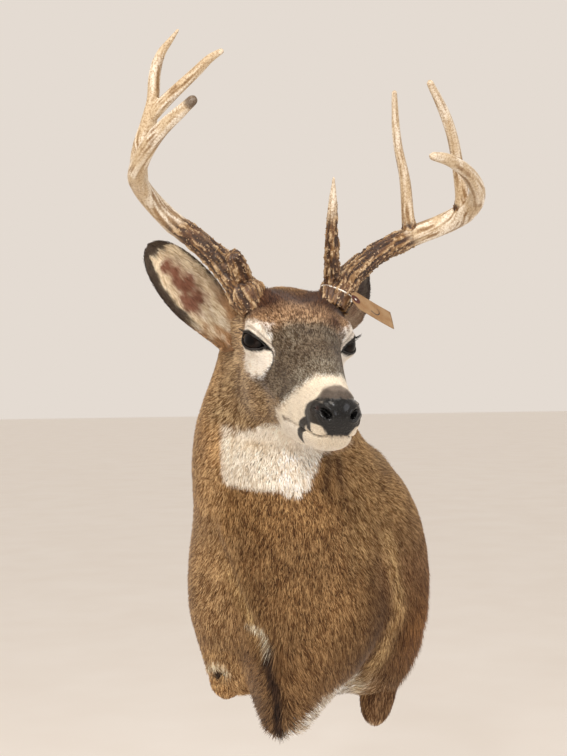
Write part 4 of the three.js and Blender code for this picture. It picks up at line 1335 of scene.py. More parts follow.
# %% The shape and shades of a tuft
MIDDLE = 0.38  # where along a tuft it is widest
RIDGE, KEEL = 0.34, 0.4  # height of the ridge in widths, and how far the sides hang under it in ridges
# painted shade: each tuft's root is half as bright, standing in for the shade of the hair over it
ROOT_PAINTED_SHADE = 0.50
ROOT_SINK = 0.35  # mm below the skin
LIE_SCATTER = 0.20  # radians
SPECKLE, CLUMPING = 0.9, 1.25  # how much single hairs differ, and how much locks do
CLUMP_SHAPE = np.array([1.0, 1.0, 3.0])  # locks of one shade, longer down the body than across
BRIGHTEST = 0.9  # the palest hairs stand out from their neighbours less than the darkest do
PALE_TINT, DARK_TINT = np.array([0.82, 1.0, 1.2]), np.array([0.77, 1.0, 1.3])
SETTLE = 0.12  # strong differences would lift the mean colour, so they start from a darker one
SEEN_AT = 0.62  # the part of a tuft that shows, so that marks stay where they are on the skin
# A tuft has its root, three points round its middle, and its tip, numbered in that order.
TUFT_FACES = np.array([(1, 3, 4), (3, 2, 4), (2, 1, 4), (3, 1, 0), (2, 3, 0), (1, 2, 0)])
UV_SHAPE = np.array([(-0.5, 0.0), (0.0, -0.5), (0.0, 0.5), (0.1, 0.0), (0.5, 0.0)]) * 0.003
random = np.random.default_rng(41)
print("a tuft has", len(TUFT_FACES), "faces")


# %% Reading a net between its points
def at_place(grid, row, column):
    """Value of a net's map between its points; columns run round, rows stop at the ends."""
    rows, columns = grid.shape[:2]
    row = np.clip(row, 0, rows - 1.001)
    r, c = np.floor(row).astype(int), np.floor(column).astype(int)
    fr, fc = row - r, column - c
    c0, c1 = c % columns, (c + 1) % columns
    if grid.ndim == 3:
        fr, fc = fr[:, None], fc[:, None]
    near = grid[r, c0] * (1 - fc) + grid[r, c1] * fc
    return near * (1 - fr) + (grid[r + 1, c0] * (1 - fc) + grid[r + 1, c1] * fc) * fr


def scatter_roots(patch, first_row, last_row):
    """Roots spread evenly over the area of some rows, as rows and columns that needn't be whole."""
    net = patch["net"]
    along = np.diff(net, axis=0)
    around = (np.roll(net, -1, 1) - net)[:-1]
    area = np.linalg.norm(np.cross(along, around), axis=-1)
    wanted = np.where(patch["bare"][:-1], 0, area / patch["gap"][:-1] ** 2)[first_row:last_row]
    total = np.cumsum(wanted.ravel())
    count = int(total[-1])
    pick = (np.arange(count) + random.random(count)) / count * total[-1]
    cell = np.minimum(np.searchsorted(total, pick), total.size - 1)
    row = cell // net.shape[1] + first_row + random.random(count)
    return row, cell % net.shape[1] + random.random(count)


# %% Growing tufts
def hair_shade(speck, contrast):
    """How much paler and buffer, or darker and warmer, a hair is than the coat round it."""
    speck = np.minimum(speck, BRIGHTEST)[:, None] * contrast[:, None]
    return np.exp(speck * np.where(speck > 0, PALE_TINT, DARK_TINT) - SETTLE * contrast[:, None] ** 2)


def grow_tufts(patch, row, column):
    """Points, colours, normals and unwrap places of one tuft for each root."""
    count = len(row)
    root, normal = at_place(patch["net"], row, column), unit(at_place(patch["normals"], row, column))
    grid_row = at_place(np.gradient(patch["net"], axis=0), row, column)
    grid_column = at_place((np.roll(patch["net"], -1, 1) - np.roll(patch["net"], 1, 1)) / 2, row, column)
    lie = at_place(patch["lie"], row, column)
    lie = unit(lie - normal * (lie * normal).sum(1, keepdims=True))
    turn = random.normal(0, LIE_SCATTER, count)[:, None]
    lie = lie * np.cos(turn) + np.cross(normal, lie) * np.sin(turn)
    # How many rows and columns of the net are crossed by one mm along the lie.
    e, f, g = (grid_row**2).sum(1), (grid_row * grid_column).sum(1), (grid_column**2).sum(1)
    a, b = (lie * grid_row).sum(1), (lie * grid_column).sum(1)
    determinant = np.maximum(e * g - f * f, 1e-3 * e * g + 1e-9)
    step_row, step_column = (a * g - b * f) / determinant, (b * e - a * f) / determinant
    length = at_place(patch["length"], row, column) * random.uniform(0.7, 1.3, count)
    width = at_place(patch["width"], row, column) * random.uniform(0.75, 1.2, count)
    depth = at_place(patch["depth"], row, column)
    stand = at_place(patch["stand"], row, column)
    middle_row, middle_column = row + step_row * length * MIDDLE, column + step_column * length * MIDDLE
    middle = at_place(patch["net"], middle_row, middle_column)
    tip_row = row + step_row * length
    tip = at_place(patch["net"], tip_row, column + step_column * length)
    tip_normal = unit(at_place(patch["normals"], tip_row, column + step_column * length))
    middle = middle + normal * (depth * (0.5 + 0.2 * stand))[:, None]
    lift = depth * (random.uniform(0.55, 1.0, count) + stand * random.uniform(0.0, 0.9, count))
    tip = tip + unit(tip_normal + normal) * lift[:, None]
    side = np.cross(normal, lie) * (width / 2)[:, None]
    ridge = normal * (width * RIDGE)[:, None]
    left, right = middle + side - ridge * KEEL, middle - side - ridge * KEEL
    points = np.stack([root - normal * ROOT_SINK, left, right, middle + ridge, tip], 1)
    facing = np.stack([normal - lie * 0.3, normal + side, normal - side, normal, normal + lie * 0.35], 1)
    seen = length * SEEN_AT
    seen_row, seen_column = row + step_row * seen, column + step_column * seen
    colour = at_place(patch["colour"], seen_row, seen_column)
    contrast = at_place(patch["contrast"], seen_row, seen_column)
    clump = at_place(patch["clump"], row, column)
    locks = cloud(root, clump[:, None] * CLUMP_SHAPE, 55)
    speck = SPECKLE * random.normal(0, 1, count) + CLUMPING * locks
    ring_speck = random.normal(0, 1, count)
    flank = hair_shade(speck * 0.7, contrast)
    # the root point is darkened as painted shade; the other points take the hair's own tones
    shades = [
        ROOT_PAINTED_SHADE * np.ones((count, 3)), flank, flank,
        hair_shade(speck + 0.25 * ring_speck, contrast),
        hair_shade(speck * 0.6 + ring_speck * 0.8, contrast),
    ]
    colours = np.stack([colour * shade for shade in shades], 1)
    return points, colours, unit(facing), unwrap(patch, row, column)


# %% The pieces of the coat
def coat_piece(name, parts):
    """One coat piece over some rows of some patches, its unwrap spread over the whole square."""
    grown = [grow_tufts(patches[patch], *scatter_roots(patches[patch], *rows)) for patch, rows in parts]
    points, colours, facing, place = (np.concatenate(part) for part in zip(*grown))
    low, high = place.min(0), place.max(0)
    place = 0.004 + 0.992 * (place - low) / (high - low)
    corner = place[:, None] + UV_SHAPE
    count = len(points)
    triangles = (np.arange(count)[:, None, None] * 5 + TUFT_FACES).reshape(-1, 3)
    corner_uv = corner[:, TUFT_FACES].reshape(-1, 2)
    points, colours, facing = (part.reshape(-1, 3) for part in (points, colours, facing))
    piece = make_mesh(name, points, triangles, colours, corner_uv, facing)
    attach(piece, "root")
    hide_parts("head" if parts[0][0] == "body" and parts[0][1][1] <= head_end + 4 else "trunk")
    piece.data.materials.append(coat_hair)
    print(name, count, "tufts,", len(triangles), "triangles")
    return piece


def hair_material():
    """Hollow winter guard hair: it takes its colour from the tuft, and its tips catch a soft pale sheen."""
    material, tree = new_material("guard_hair")
    colour = node(tree, "ShaderNodeAttribute", attribute_name="hair_colour").outputs["Color"]
    finish_surface(tree, {
        "Base Color": colour, "Roughness": 0.62, "Specular IOR Level": 0.2,
        "Sheen Weight": 0.08, "Sheen Roughness": 0.45,
    })
    return material


coat_hair = hair_material()
# The coat is cut into pieces of rows, each from the first row given to the next one's.
FIRST_ROWS = {
    "coat_face": 0, "coat_brow": 78, "coat_poll": 124, "coat_throat": head_end + 4,
    "coat_nape": head_end + 30, "coat_neck": neck_start, "coat_shoulders": neck_start + 26,
    "coat_chest": neck_start + 52, "coat_brisket": trunk_end + 6,
}
last_rows = [*FIRST_ROWS.values(), len(rings)][1:]
coat_parts = {name: [("body", rows)] for name, *rows in zip(FIRST_ROWS, FIRST_ROWS.values(), last_rows)}
coat_parts["coat_stubs"] = [(name, (0, None)) for name in ("leg_stub_right", "leg_stub_left")]
coat_parts["coat_ears"] = [(name, (0, None)) for name in ("ear_right", "ear_left")]
coat = [coat_piece(name, parts) for name, parts in coat_parts.items()]
print("coat", sum(len(piece.data.polygons) for piece in coat), "triangles in all")

# %% [markdown]
# ## Glass eyes
# A set eye is a dome of clear glass over a painted iris, so dark in a deer that it reads as black with one
# sharp highlight. The ball is turned about its gaze, and the dark rims of the lids close the gap round it.

# %% Eyeballs
BALL_RINGS, BALL_COLUMNS = 40, 64
PUPIL = 8.5, 5.5  # half its width along the slit, and half its height
IRIS_EDGE = 11, 14  # where the iris darkens into the rim
PUPIL_TONE = linear("#050302")


def eye_material():
    """Brown glass: nearly black, with a faint iris, mirror smooth."""
    material, tree = new_material("eye_glass")
    iris = node(tree, "ShaderNodeAttribute", attribute_name="hair_colour").outputs["Color"]
    finish_surface(tree, {"Base Color": iris, "Roughness": 0.05, "Specular IOR Level": 0.14})
    return material


def from_face(points, side):
    """World place of points given on the left half of the head, for either side."""
    return to_world(np.asarray(points) * np.array([1, side, 1]))


def face_outwards(piece):
    """Turns every face of a closed piece outwards."""
    shape = bmesh.new()
    shape.from_mesh(piece.data)
    bmesh.ops.recalc_face_normals(shape, faces=shape.faces)
    shape.to_mesh(piece.data)
    shape.free()


def make_eye(name, side, material):
    """A ball whose poles lie along the gaze: dark pupil, brown iris, black edge."""
    turn = np.linspace(0, np.pi, BALL_RINGS + 1)[1:-1]
    angle = np.arange(BALL_COLUMNS) / BALL_COLUMNS * math.tau
    level = TO_TEAR * np.cos(angle)[:, None] + LID_UP * np.sin(angle)[:, None]
    net = EYE_CENTRE + EYE_RADIUS * (
        GAZE * np.cos(turn)[:, None, None] + level[None] * np.sin(turn)[:, None, None]
    )
    poles = EYE_CENTRE + GAZE * EYE_RADIUS, EYE_CENTRE - GAZE * EYE_RADIUS
    across_slit = EYE_RADIUS * np.sin(turn)[:, None] * np.cos(angle)
    above = EYE_RADIUS * np.sin(turn)[:, None] * np.sin(angle)
    pupil = np.hypot(across_slit / PUPIL[0], above / PUPIL[1])
    iris = smooth(pupil, 0.9, 1.1) * (1 - smooth(np.hypot(across_slit, above), *IRIS_EDGE))
    colours = mix(PUPIL_TONE, linear("#160c07"), iris[..., None])
    points = np.concatenate([net.reshape(-1, 3), np.array(poles)])
    tints = np.concatenate([colours.reshape(-1, 3), np.tile(PUPIL_TONE, (2, 1))])
    piece = make_mesh(name, from_face(points, side), net_triangles(BALL_RINGS - 1, BALL_COLUMNS)[1], tints)
    face_outwards(piece)
    piece.data.materials.append(material)
    return piece


eye_glass = eye_material()
for side, name in ((1, "left"), (-1, "right")):
    ball = make_eye("glass_eye_" + name, side, eye_glass)
    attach(ball, "root")
    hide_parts("eye_" + name)
    print(ball.name, len(ball.data.polygons), "triangles")

# %% [markdown]
# ## Lids and lashes
# The edge of each lid is a bare black rim, swept as a flattened tube along the almond. Lashes are thin
# tapering hairs set in the upper lid. The same sweep makes the antlers' branches and the string later.

# %% Tubes
def sweep(points, radii, sides, flat=None):
    """A tube of rings along points, with its frame carried along so that it doesn't twist. Returns a net."""
    points = np.asarray(points, float)
    tangent = unit(np.gradient(points, axis=0))
    normal = unit(np.cross(tangent[0], [0.31, 0.17, 0.93]))
    angle = np.arange(sides) / sides * math.tau
    net = []
    for i, (point, ahead) in enumerate(zip(points, tangent)):
        normal = unit(normal - ahead * (normal @ ahead))
        other = np.cross(ahead, normal)
        wide = 1.0 if flat is None else flat
        ring = normal * np.cos(angle)[:, None] + other * np.sin(angle)[:, None] * wide
        net.append(point + ring * radii[i])
    return np.array(net)


def net_piece(name, nets):
    """One object of several closed nets, each with its ends closed by a pole."""
    points, triangles, offset = [], [], 0
    for net in nets:
        rows, columns = net.shape[:2]
        triangles.append(net_triangles(rows, columns)[1] + offset)
        points += [net.reshape(-1, 3), net[0].mean(0, keepdims=True), net[-1].mean(0, keepdims=True)]
        offset += rows * columns + 2
    piece = make_mesh(name, np.concatenate(points), np.concatenate(triangles))
    face_outwards(piece)
    return piece

# %% Rims of the lids
RIM_RADIUS = 0.8


def almond(count):
    """Points round the opening: along the slit and above it."""
    t = np.linspace(0, 1, count)
    along = ALMOND_BACK + (ALMOND_FRONT - ALMOND_BACK) * (0.5 - 0.5 * np.cos(np.pi * t))
    upper, lower = lid_heights(along)
    above = np.concatenate([upper, lower[::-1][1:-1]])
    return np.concatenate([along, along[::-1][1:-1]]), above


def lid_surface(along, above):
    """Points of the lids' outer surface under places of the almond, on the left half of the head."""
    start = EYE_CENTRE + TO_TEAR * along[:, None] + LID_UP * above[:, None] + GAZE * 40
    world_start = to_world(start)
    inward = -(GAZE @ HEAD_TURN.T)
    reach = np.zeros(len(along))
    for _ in range(60):
        reach += np.clip(body_distance(world_start + inward * reach[:, None]), -2, 4) * 0.8
    hit = start - GAZE * reach[:, None]
    hollow = head_relief(hit)
    return hit + unit(hit - EYE_CENTRE) * np.minimum(hollow, 0)[:, None]


def rim_material():
    """Bare lid skin: black, slightly moist, with wrinkles 1.4 mm apart, drawn coarse enough to show."""
    return mottled(
        "lid_skin", {"Scale": 700.0}, [(0.35, "#0b0807"), (0.7, "#1a1310")], {"Roughness": 0.38},
        {"Strength": 0.4, "Distance": 0.0004},
    )


lid_skin = rim_material()
rim_along, rim_above = almond(56)
rim_line = lid_surface(rim_along, rim_above)
sunk = rim_line - GAZE * 1.1
for side, name in ((1, "left"), (-1, "right")):
    loop = from_face(np.concatenate([sunk, sunk[:2]]), side)
    width = RIM_RADIUS * mix(1.0, 0.75, smooth(np.concatenate([rim_along, rim_along[:2]]), 12, 22))
    rim = net_piece("lid_rim_" + name, [sweep(loop, width, 10, flat=1.35)])
    rim.data.materials.append(lid_skin)
    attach(rim, "root")
    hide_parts("eye_" + name)
print("lid rims", len(rim_line), "points round each")

# %% Lashes
LASH_LENGTH = 8.5
lash_random = np.random.default_rng(12)


def lash(root, lean):
    """One eyelash: a thin tapering hair that curves up and out from the upper lid."""
    out = unit(GAZE * 1.0 + LID_UP * 0.12 + TO_TEAR * lean + lash_random.normal(0, 0.09, 3))
    length = LASH_LENGTH * lash_random.uniform(0.6, 1.0)
    share = np.linspace(0, 1, 6)[:, None]
    line = root - GAZE * 0.6 + out * length * share + LID_UP * 0.3 * length * share**2
    return sweep(line, mix(0.26, 0.05, share[:, 0]), 4)


upper_lid = rim_line[9:40]
for side, name in ((1, "left"), (-1, "right")):
    lashes = []
    for place in lash_random.uniform(0, len(upper_lid) - 1, 46):
        here, ahead = upper_lid[int(place)], upper_lid[min(int(place) + 1, len(upper_lid) - 1)]
        root = here + (ahead - here) * (place % 1)
        lashes.append(from_face(lash(root, mix(-0.45, 0.25, place / (len(upper_lid) - 1))), side))
    piece = net_piece("lashes_" + name, lashes)
    piece.data.materials.append(lid_skin)
    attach(piece, "root")
    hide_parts("eye_" + name)
    print(piece.name, len(lashes), "hairs")

# %% [markdown]
# ## Antlers
# Antler is bone: rough and beaded where blood vessels lay near the root, furrowed along the beam, and
# polished pale at the tips. The branches are tubes along the CAD's own centre lines, fused by a voxel
# remesh so that the forks grow out of each other, and then pushed in and out point by point. Geometry
# Nodes scatter hard little beads, or pearls, over the rough parts.

# %% Centre lines
RIGHT_BEAM = [
    (-52, -48, 26, 20), (-60, -58, 40, 21.5), (-68, -71, 55, 17), (-82, -94, 78, 14.7),
    (-94, -128, 103, 13.7), (-101, -153, 118, 13), (-100, -178, 140, 12), (-84, -195, 160, 11.5),
    (-60, -204, 178, 10.6), (-34, -202, 202, 9.9), (-12, -194, 226, 9.1), (7, -183, 246, 7.9),
    (28, -170, 265, 6.7), (41, -160, 279, 5.6),
]
LEFT_BEAM = [
    (-50, 47, 34, 20), (-58, 54, 48, 21.5), (-68, 63, 62, 18), (-80, 82, 79, 15), (-95, 114, 100, 14.2),
    (-104, 153, 119, 13.5), (-104, 191, 137, 13.5), (-90, 212, 155, 13.5), (-64, 216, 175, 11.2),
    (-36, 206, 196, 9.7), (-14, 187, 214, 8.9), (7, 163, 229, 7.8), (23, 140, 238, 6.8),
    (37, 117, 242, 5),
]
# Each branch: its line with the radius last, how far up it is rough, and how round its end is.
ANTLERS = {
    "antler_right": {
        "beam": (RIGHT_BEAM, 150, 3.4),
        "brow_stub": ([
            (-66, -64, 52, 13), (-58, -70, 68, 12), (-51, -78, 83, 11), (-45, -85, 95, 9.5),
        ], 90, 0.5),
        "second": ([
            (-84, -195, 158, 9), (-73, -201, 186, 10.5), (-66, -200, 212, 10.4), (-65, -194, 239, 9.4),
            (-66, -191, 266, 7.2), (-66, -191, 292, 6.7), (-62, -187, 314, 5.3), (-48, -171, 344, 1.8),
        ], 10, 1.5),
        "third": ([
            (-64, -196, 236, 5), (-58, -185, 256, 7.3), (-52, -173, 272, 7), (-40, -149, 301, 6),
            (-30, -135, 319, 5), (-22, -125, 328, 3.4),
        ], 0, 2.4),
    },
    "antler_left": {
        "beam": (LEFT_BEAM, 170, 3.0),
        "brow": ([
            (-62, 50, 50, 11), (-56, 43, 78, 10), (-50, 38, 104, 8.6), (-44, 32, 138, 7.2),
            (-38, 28, 168, 5.4), (-30, 23, 198, 1.4),
        ], 128, 1.4),
        "second": ([
            (-104, 154, 116, 11), (-106, 147, 146, 8.3), (-106, 136, 191, 6.9), (-102, 121, 228, 5.8),
            (-97, 111, 258, 5), (-89, 101, 297, 3.4),
        ], 26, 2.4),
        "third": ([
            (-90, 212, 152, 11), (-82, 206, 180, 8.9), (-78, 192, 219, 7.4), (-72, 177, 253, 6.7),
            (-65, 161, 279, 6.3), (-51, 131, 315, 4.2),
        ], 20, 2.8),
    },
}
POINTS_PER_SPAN = 14


def gone_along(line):
    """How far along a line each of its points is."""
    return np.concatenate([[0], np.cumsum(np.linalg.norm(np.diff(line, axis=0), axis=1))])


def through_points(points):
    """A centripetal curve through [x, y, z, radius] points, as many close points and their radii."""
    points = np.array(points, float)
    place, radius = points[:, :3], points[:, 3]
    padded = np.vstack([2 * place[0] - place[1], place, 2 * place[-1] - place[-2]])
    line = []
    start, leaving, end, arriving = curve_shares((np.arange(POINTS_PER_SPAN) / POINTS_PER_SPAN)[:, None])
    for i in range(len(place) - 1):
        before, a, b, after = padded[i:i + 4]
        d0, d1, d2 = (math.sqrt(np.linalg.norm(q - p)) for p, q in ((before, a), (a, b), (b, after)))
        leave = ((a - before) / d0 - (b - before) / (d0 + d1) + (b - a) / d1) * d1
        arrive = ((b - a) / d1 - (after - a) / (d1 + d2) + (after - b) / d2) * d1
        line.append(start * a + leaving * leave + end * b + arriving * arrive)
    line = np.vstack(line + [place[-1:]])
    radii = smooth_curve(np.arange(len(place)), radius)(np.linspace(0, len(place) - 1, len(line)))
    return line, radii


for name, beam in (("right", RIGHT_BEAM), ("left", LEFT_BEAM)):
    print(name, "beam", round(gone_along(through_points(beam)[0])[-1]), "mm along its curve")


# %% Fusing the branches
VOXEL = 1.4


def branch_net(line, radii, tip):
    """A tube with a rounded end, in the head's frame."""
    ahead = unit(line[-1] - line[-2])
    turn = np.radians([30, 55, 75])[:, None]
    cap = line[-1] + ahead * (np.sin(turn) * (tip + radii[-1] * 0.3))
    cap_radii = radii[-1] * np.cos(turn[:, 0])
    return sweep(np.vstack([line, cap]), np.concatenate([radii, cap_radii]), 20)


def fused(name, nets):
    """The branches joined into one body by a voxel remesh: points in mm and triangles."""
    piece = net_piece(name, [to_world(net) for net in nets])
    remesh = piece.modifiers.new("fuse", "REMESH")
    remesh.mode = "VOXEL"
    remesh.voxel_size = VOXEL * MM
    evaluated = piece.evaluated_get(bpy.context.evaluated_depsgraph_get())
    mesh = bpy.data.meshes.new_from_object(evaluated)
    mesh.calc_loop_triangles()
    points = np.empty(len(mesh.vertices) * 3, np.float32)
    mesh.vertices.foreach_get("co", points)
    triangles = np.empty(len(mesh.loop_triangles) * 3, np.int32)
    mesh.loop_triangles.foreach_get("vertices", triangles)
    normals = np.empty(len(mesh.vertices) * 3, np.float32)
    mesh.vertices.foreach_get("normal", normals)
    bpy.data.objects.remove(piece)
    return points.reshape(-1, 3) / MM, triangles.reshape(-1, 3), normals.reshape(-1, 3).astype(float)


def nearest_branch(points, branches):
    """For each point: mm along its branch, share of the rough length, radius there, and a frame round it."""
    best = np.full(len(points), 1e9)
    values = np.zeros((len(points), 5))
    for shape, rough, _ in branches.values():
        line, radii = through_points(shape)
        length = gone_along(line)
        tangent = unit(np.gradient(line, axis=0))
        level = unit(np.cross(tangent, [0.31, 0.17, 0.93]))
        for part in np.array_split(np.arange(len(points)), max(1, len(points) // 8000)):
            offset = points[part, None] - line[None]
            distance = np.linalg.norm(offset, axis=2) - radii
            k = distance.argmin(1)
            near = distance[np.arange(len(part)), k]
            closer = near < best[part]
            chosen, at = part[closer], k[closer]
            best[chosen] = near[closer]
            away = offset[closer][np.arange(len(at)), at]
            turn = np.arctan2((away * np.cross(tangent[at], level[at])).sum(1), (away * level[at]).sum(1))
            values[chosen] = np.stack([
                length[at], length[at] / max(rough, 1e-3), radii[at], turn, length[-1] - length[at],
            ], 1)
    return values.T

# %% Beads, furrows and their colours
BONE = {
    "furrow": "#3a2414", "root": "#66452a", "bead": "#d2b893", "stain": "#8b693f", "bone": "#cdb898",
    "ivory": "#eee4d3", "tip": "#d8c6ab",
}
BONE = {name: linear(code) for name, code in BONE.items()}


def bone_relief(points, along, rough, radius, turn):
    """Push in mm, and the roughness from 0 to 1: beads and furrows at the root, fine furrows above."""
    roughness = 1 - smooth(rough + 0.18 * cloud(points, 22, 61), 0.5, 1.1)
    round_it = np.stack([np.cos(turn), np.sin(turn)], 1) * radius[:, None]

    def ribs(width, length, seed):
        return cloud(np.concatenate([round_it / width, (along / length)[:, None]], 1), 1.0, seed)

    furrows = ribs(2.5, 34, 62)
    fine = ribs(1.5, 18, 63)
    beads = np.maximum(ribs(1.9, 4.2, 64) + 0.3 * furrows, -0.2)
    pits = ribs(2.6, 7, 67)
    push = roughness * (2.1 * beads + 1.3 * furrows + 0.8 * fine + 1.2 * pits)
    push += (1 - roughness) * (0.42 * furrows + 0.22 * fine)
    burr = band(along - 20, 5.5) * (rough < 0.5) * (radius > 15)
    push += burr * (2.2 + 1.6 * cloud(np.stack([turn * radius / 4.5, along / 9, turn * 0], 1), 1.0, 65))
    return push, roughness, furrows * 0.6 + fine * 0.4, beads + 0.5 * pits


def bone_colour(points, left, roughness, furrows, beads, stained):
    """Dark in the furrows and at the root, pale on beads, ridges and tips."""
    patchy = cloud(points, (14, 14, 30), 66)
    colour = BONE["bone"]
    streaks = smooth(-furrows + 0.45 * patchy, 0.05, 0.5) * mix(0.85, 0.35, smooth(-left, -60, -20))
    for tone, mask in (
        ("ivory", smooth(furrows + 0.5 * patchy, -0.25, 0.5)), ("stain", streaks),
        ("tip", 0.4 * smooth(-left, -30, -4)),
    ):
        colour = mix(colour, BONE[tone], mask[:, None])
    root = BONE["furrow"]
    for tone, mask in (
        ("root", smooth(furrows + 0.5 * beads, -0.3, 0.1)),
        ("stain", smooth(furrows + 0.4 * beads + 0.3 * patchy, 0.0, 0.3)),
        ("bead", smooth(beads + 0.7 * furrows, 0.3, 0.7) * 0.75),
    ):
        root = mix(root, BONE[tone], mask[:, None])
    colour = mix(colour, root, smooth(roughness, 0.05, 0.7)[:, None])
    return mix(colour, BONE["furrow"], stained[:, None])


# %% Antler finishes
def antler_material():
    """Weathered bone: satin, its shine broken by pores 2.4 mm apart, drawn coarse enough to show."""
    material, tree = new_material("antler_bone")
    colour, place = own_colour_and_place(tree)
    weathered = {"Scale": 420.0, "Detail": 5.0, "Roughness": 0.6}
    pores = node(tree, "ShaderNodeTexNoise", {"Vector": place, **weathered})
    tint = ramp(tree, pores, [(0.36, "#b9a184"), (0.55, "#ffffff")])
    shade = node(tree, "ShaderNodeMix", {"Factor": 0.75, "A": colour, "B": tint}, **MULTIPLIED)
    bump = node(tree, "ShaderNodeBump", {"Height": pores, "Strength": 0.55, "Distance": 0.0007})
    finish_surface(tree, {"Base Color": shade, "Roughness": 0.48, "Normal": bump})
    return material


def pearl_material():
    """Pearls: harder beads of bone, worn paler on some than on others, so a tone spans about 6 mm."""
    worn = [(0.36, "#5f442c"), (0.52, "#957553"), (0.68, "#cfb899")]
    return mottled("antler_pearl", {"Scale": 160.0, "Detail": 2.0}, worn, {"Roughness": 0.5})


# %% Pearls
def pearl_tree():
    """Beads scattered over a bone mesh, thickest where its roughness attribute is high."""
    tree = bpy.data.node_groups.new("antler_pearls", "GeometryNodeTree")
    for name, kind, way in (
        ("Geometry", "Geometry", "INPUT"), ("Density", "Float", "INPUT"), ("Seed", "Int", "INPUT"),
        ("Material", "Material", "INPUT"), ("Geometry", "Geometry", "OUTPUT"),
    ):
        tree.interface.new_socket(name, in_out=way, socket_type="NodeSocket" + kind)
    enter = node(tree, "NodeGroupInput").outputs
    rough = node(tree, "GeometryNodeInputNamedAttribute", {"Name": "roughness"}, data_type="FLOAT")
    wanted = node(tree, "ShaderNodeMath", {0: rough, 1: enter["Density"]}, operation="MULTIPLY")
    spread = node(tree, "GeometryNodeDistributePointsOnFaces", {
        "Mesh": enter["Geometry"], "Density": wanted, "Seed": enter["Seed"],
    })
    bead = node(tree, "GeometryNodeMeshIcoSphere", {"Radius": 0.001, "Subdivisions": 1})
    sizes = {"Min": (0.4, 0.4, 0.4), "Max": (1.4, 1.4, 1.3)}
    size = node(tree, "FunctionNodeRandomValue", sizes, data_type="FLOAT_VECTOR")
    beads = node(tree, "GeometryNodeInstanceOnPoints", {
        "Points": spread.outputs["Points"], "Instance": bead,
        "Rotation": spread.outputs["Rotation"], "Scale": size,
    })
    real = node(tree, "GeometryNodeRealizeInstances", {"Geometry": beads})
    rounded = node(tree, "GeometryNodeSetShadeSmooth", {"Geometry": real})
    dressed = node(tree, "GeometryNodeSetMaterial", {
        "Geometry": rounded, "Material": enter["Material"],
    })
    node(tree, "NodeGroupOutput", {"Geometry": dressed})
    return tree


def made_by(tree, name, base, settings):
    """A plain mesh object from a Geometry Nodes tree run once on another object's mesh."""
    carrier = bpy.data.objects.new(name + "_carrier", base.data)
    bpy.context.scene.collection.objects.link(carrier)
    modifier = carrier.modifiers.new(name, "NODES")
    modifier.node_group = tree
    sockets = {item.name: item.identifier for item in tree.interface.items_tree if item.in_out == "INPUT"}
    for key, value in settings.items():
        modifier[sockets[key]] = value
    mesh = bpy.data.meshes.new_from_object(carrier.evaluated_get(bpy.context.evaluated_depsgraph_get()))
    bpy.data.objects.remove(carrier)
    piece = bpy.data.objects.new(name, mesh)
    bpy.context.scene.collection.objects.link(piece)
    return piece

# %% Both antlers
antler_bone, antler_pearl = antler_material(), pearl_material()
pearls_on = pearl_tree()
PEARLS_PER_M2 = 36000.0
STAINED_TIP = np.array(RIGHT_BEAM[-1][:3])
CAD_BRANCHES = ("beam_lower", "beam_end", "g1", "g2", "g3")
for name, branches in ANTLERS.items():
    nets = [branch_net(*through_points(shape), tip) for shape, _, tip in branches.values()]
    points, triangles, normals = fused(name, nets)
    own = to_head(points)
    along, rough, radius, turn, left = nearest_branch(own, branches)
    push, roughness, furrows, beads = bone_relief(own, along, rough, radius, turn)
    stained = 0.8 * smooth(-np.linalg.norm(own - STAINED_TIP, axis=1), -13, -6)
    colours = bone_colour(own, left, roughness, furrows, beads, stained)
    piece = make_mesh(name, points + normals * push[:, None], triangles, colours)
    layer = piece.data.attributes.new("roughness", "FLOAT", "POINT")
    layer.data.foreach_set("value", roughness.astype(np.float32))
    piece.data.materials.append(antler_bone)
    side = name.split("_")[1]
    pearl_settings = {"Density": PEARLS_PER_M2, "Seed": 5, "Material": antler_pearl}
    pearls = made_by(pearls_on, "pearls_" + side, piece, pearl_settings)
    for part in (piece, pearls):
        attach(part, "root")
        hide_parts(*[f"antler_{side}_{branch}" for branch in CAD_BRANCHES])
    print(name, len(triangles), "triangles and", len(pearls.data.polygons) // 20, "pearls")

# %% [markdown]
# ## Tag, string and board
# The tag is stiff manila card with a pressed-fibre eyelet, slightly bowed by its own weight, with one
# plain stroke of a pen on it. Its string is two plies of white cotton twisted together, looped round
# the antler and coiled into a knot with two short ends. The board that carries the form is plain
# pine, and it keeps its CAD shape.

# %% The card
TAG = dict(start=-6.5, end=59.5, half=17.0, clip=9.0, hole=2.3, thickness=0.5)
TAG_HOLE = np.array([-33, 71, 51.5])
TAG_ALONG = unit(np.array([-0.11, 0.87, -0.43]))
TAG_FACE = unit(np.cross(TAG_ALONG, [0.91, 0.02, -0.42]))
TAG_WIDE = np.cross(TAG_FACE, TAG_ALONG)
TAG_STEPS, TAG_RINGS = 160, 26
PEN_STROKE = [(24, 5.0), (29, 7.2), (34, 6.4), (37.5, 2.2), (38, -3.0), (35, -6.6)]
PEN_WIDTH = 0.95
EYELET = 7.2


def outline_distance(angle):
    """How far the card's edge is from the middle of its hole, in each direction."""
    direction = np.stack([np.cos(angle), np.sin(angle)])
    corner = unit(np.array([-1.0, 1.0]))
    cut = (-TAG["start"] + TAG["half"] - TAG["clip"]) / math.sqrt(2)
    edges = [
        (np.array([1, 0]), TAG["end"]), (np.array([-1, 0]), -TAG["start"]), (np.array([0, 1]), TAG["half"]),
        (np.array([0, -1]), TAG["half"]), (corner, cut), (corner * [1, -1], cut),
    ]
    reach = np.full(angle.shape, 1e9)
    for out, distance in edges:
        facing = out @ direction
        reach = np.where(facing > 1e-6, np.minimum(reach, distance / np.maximum(facing, 1e-6)), reach)
    return reach


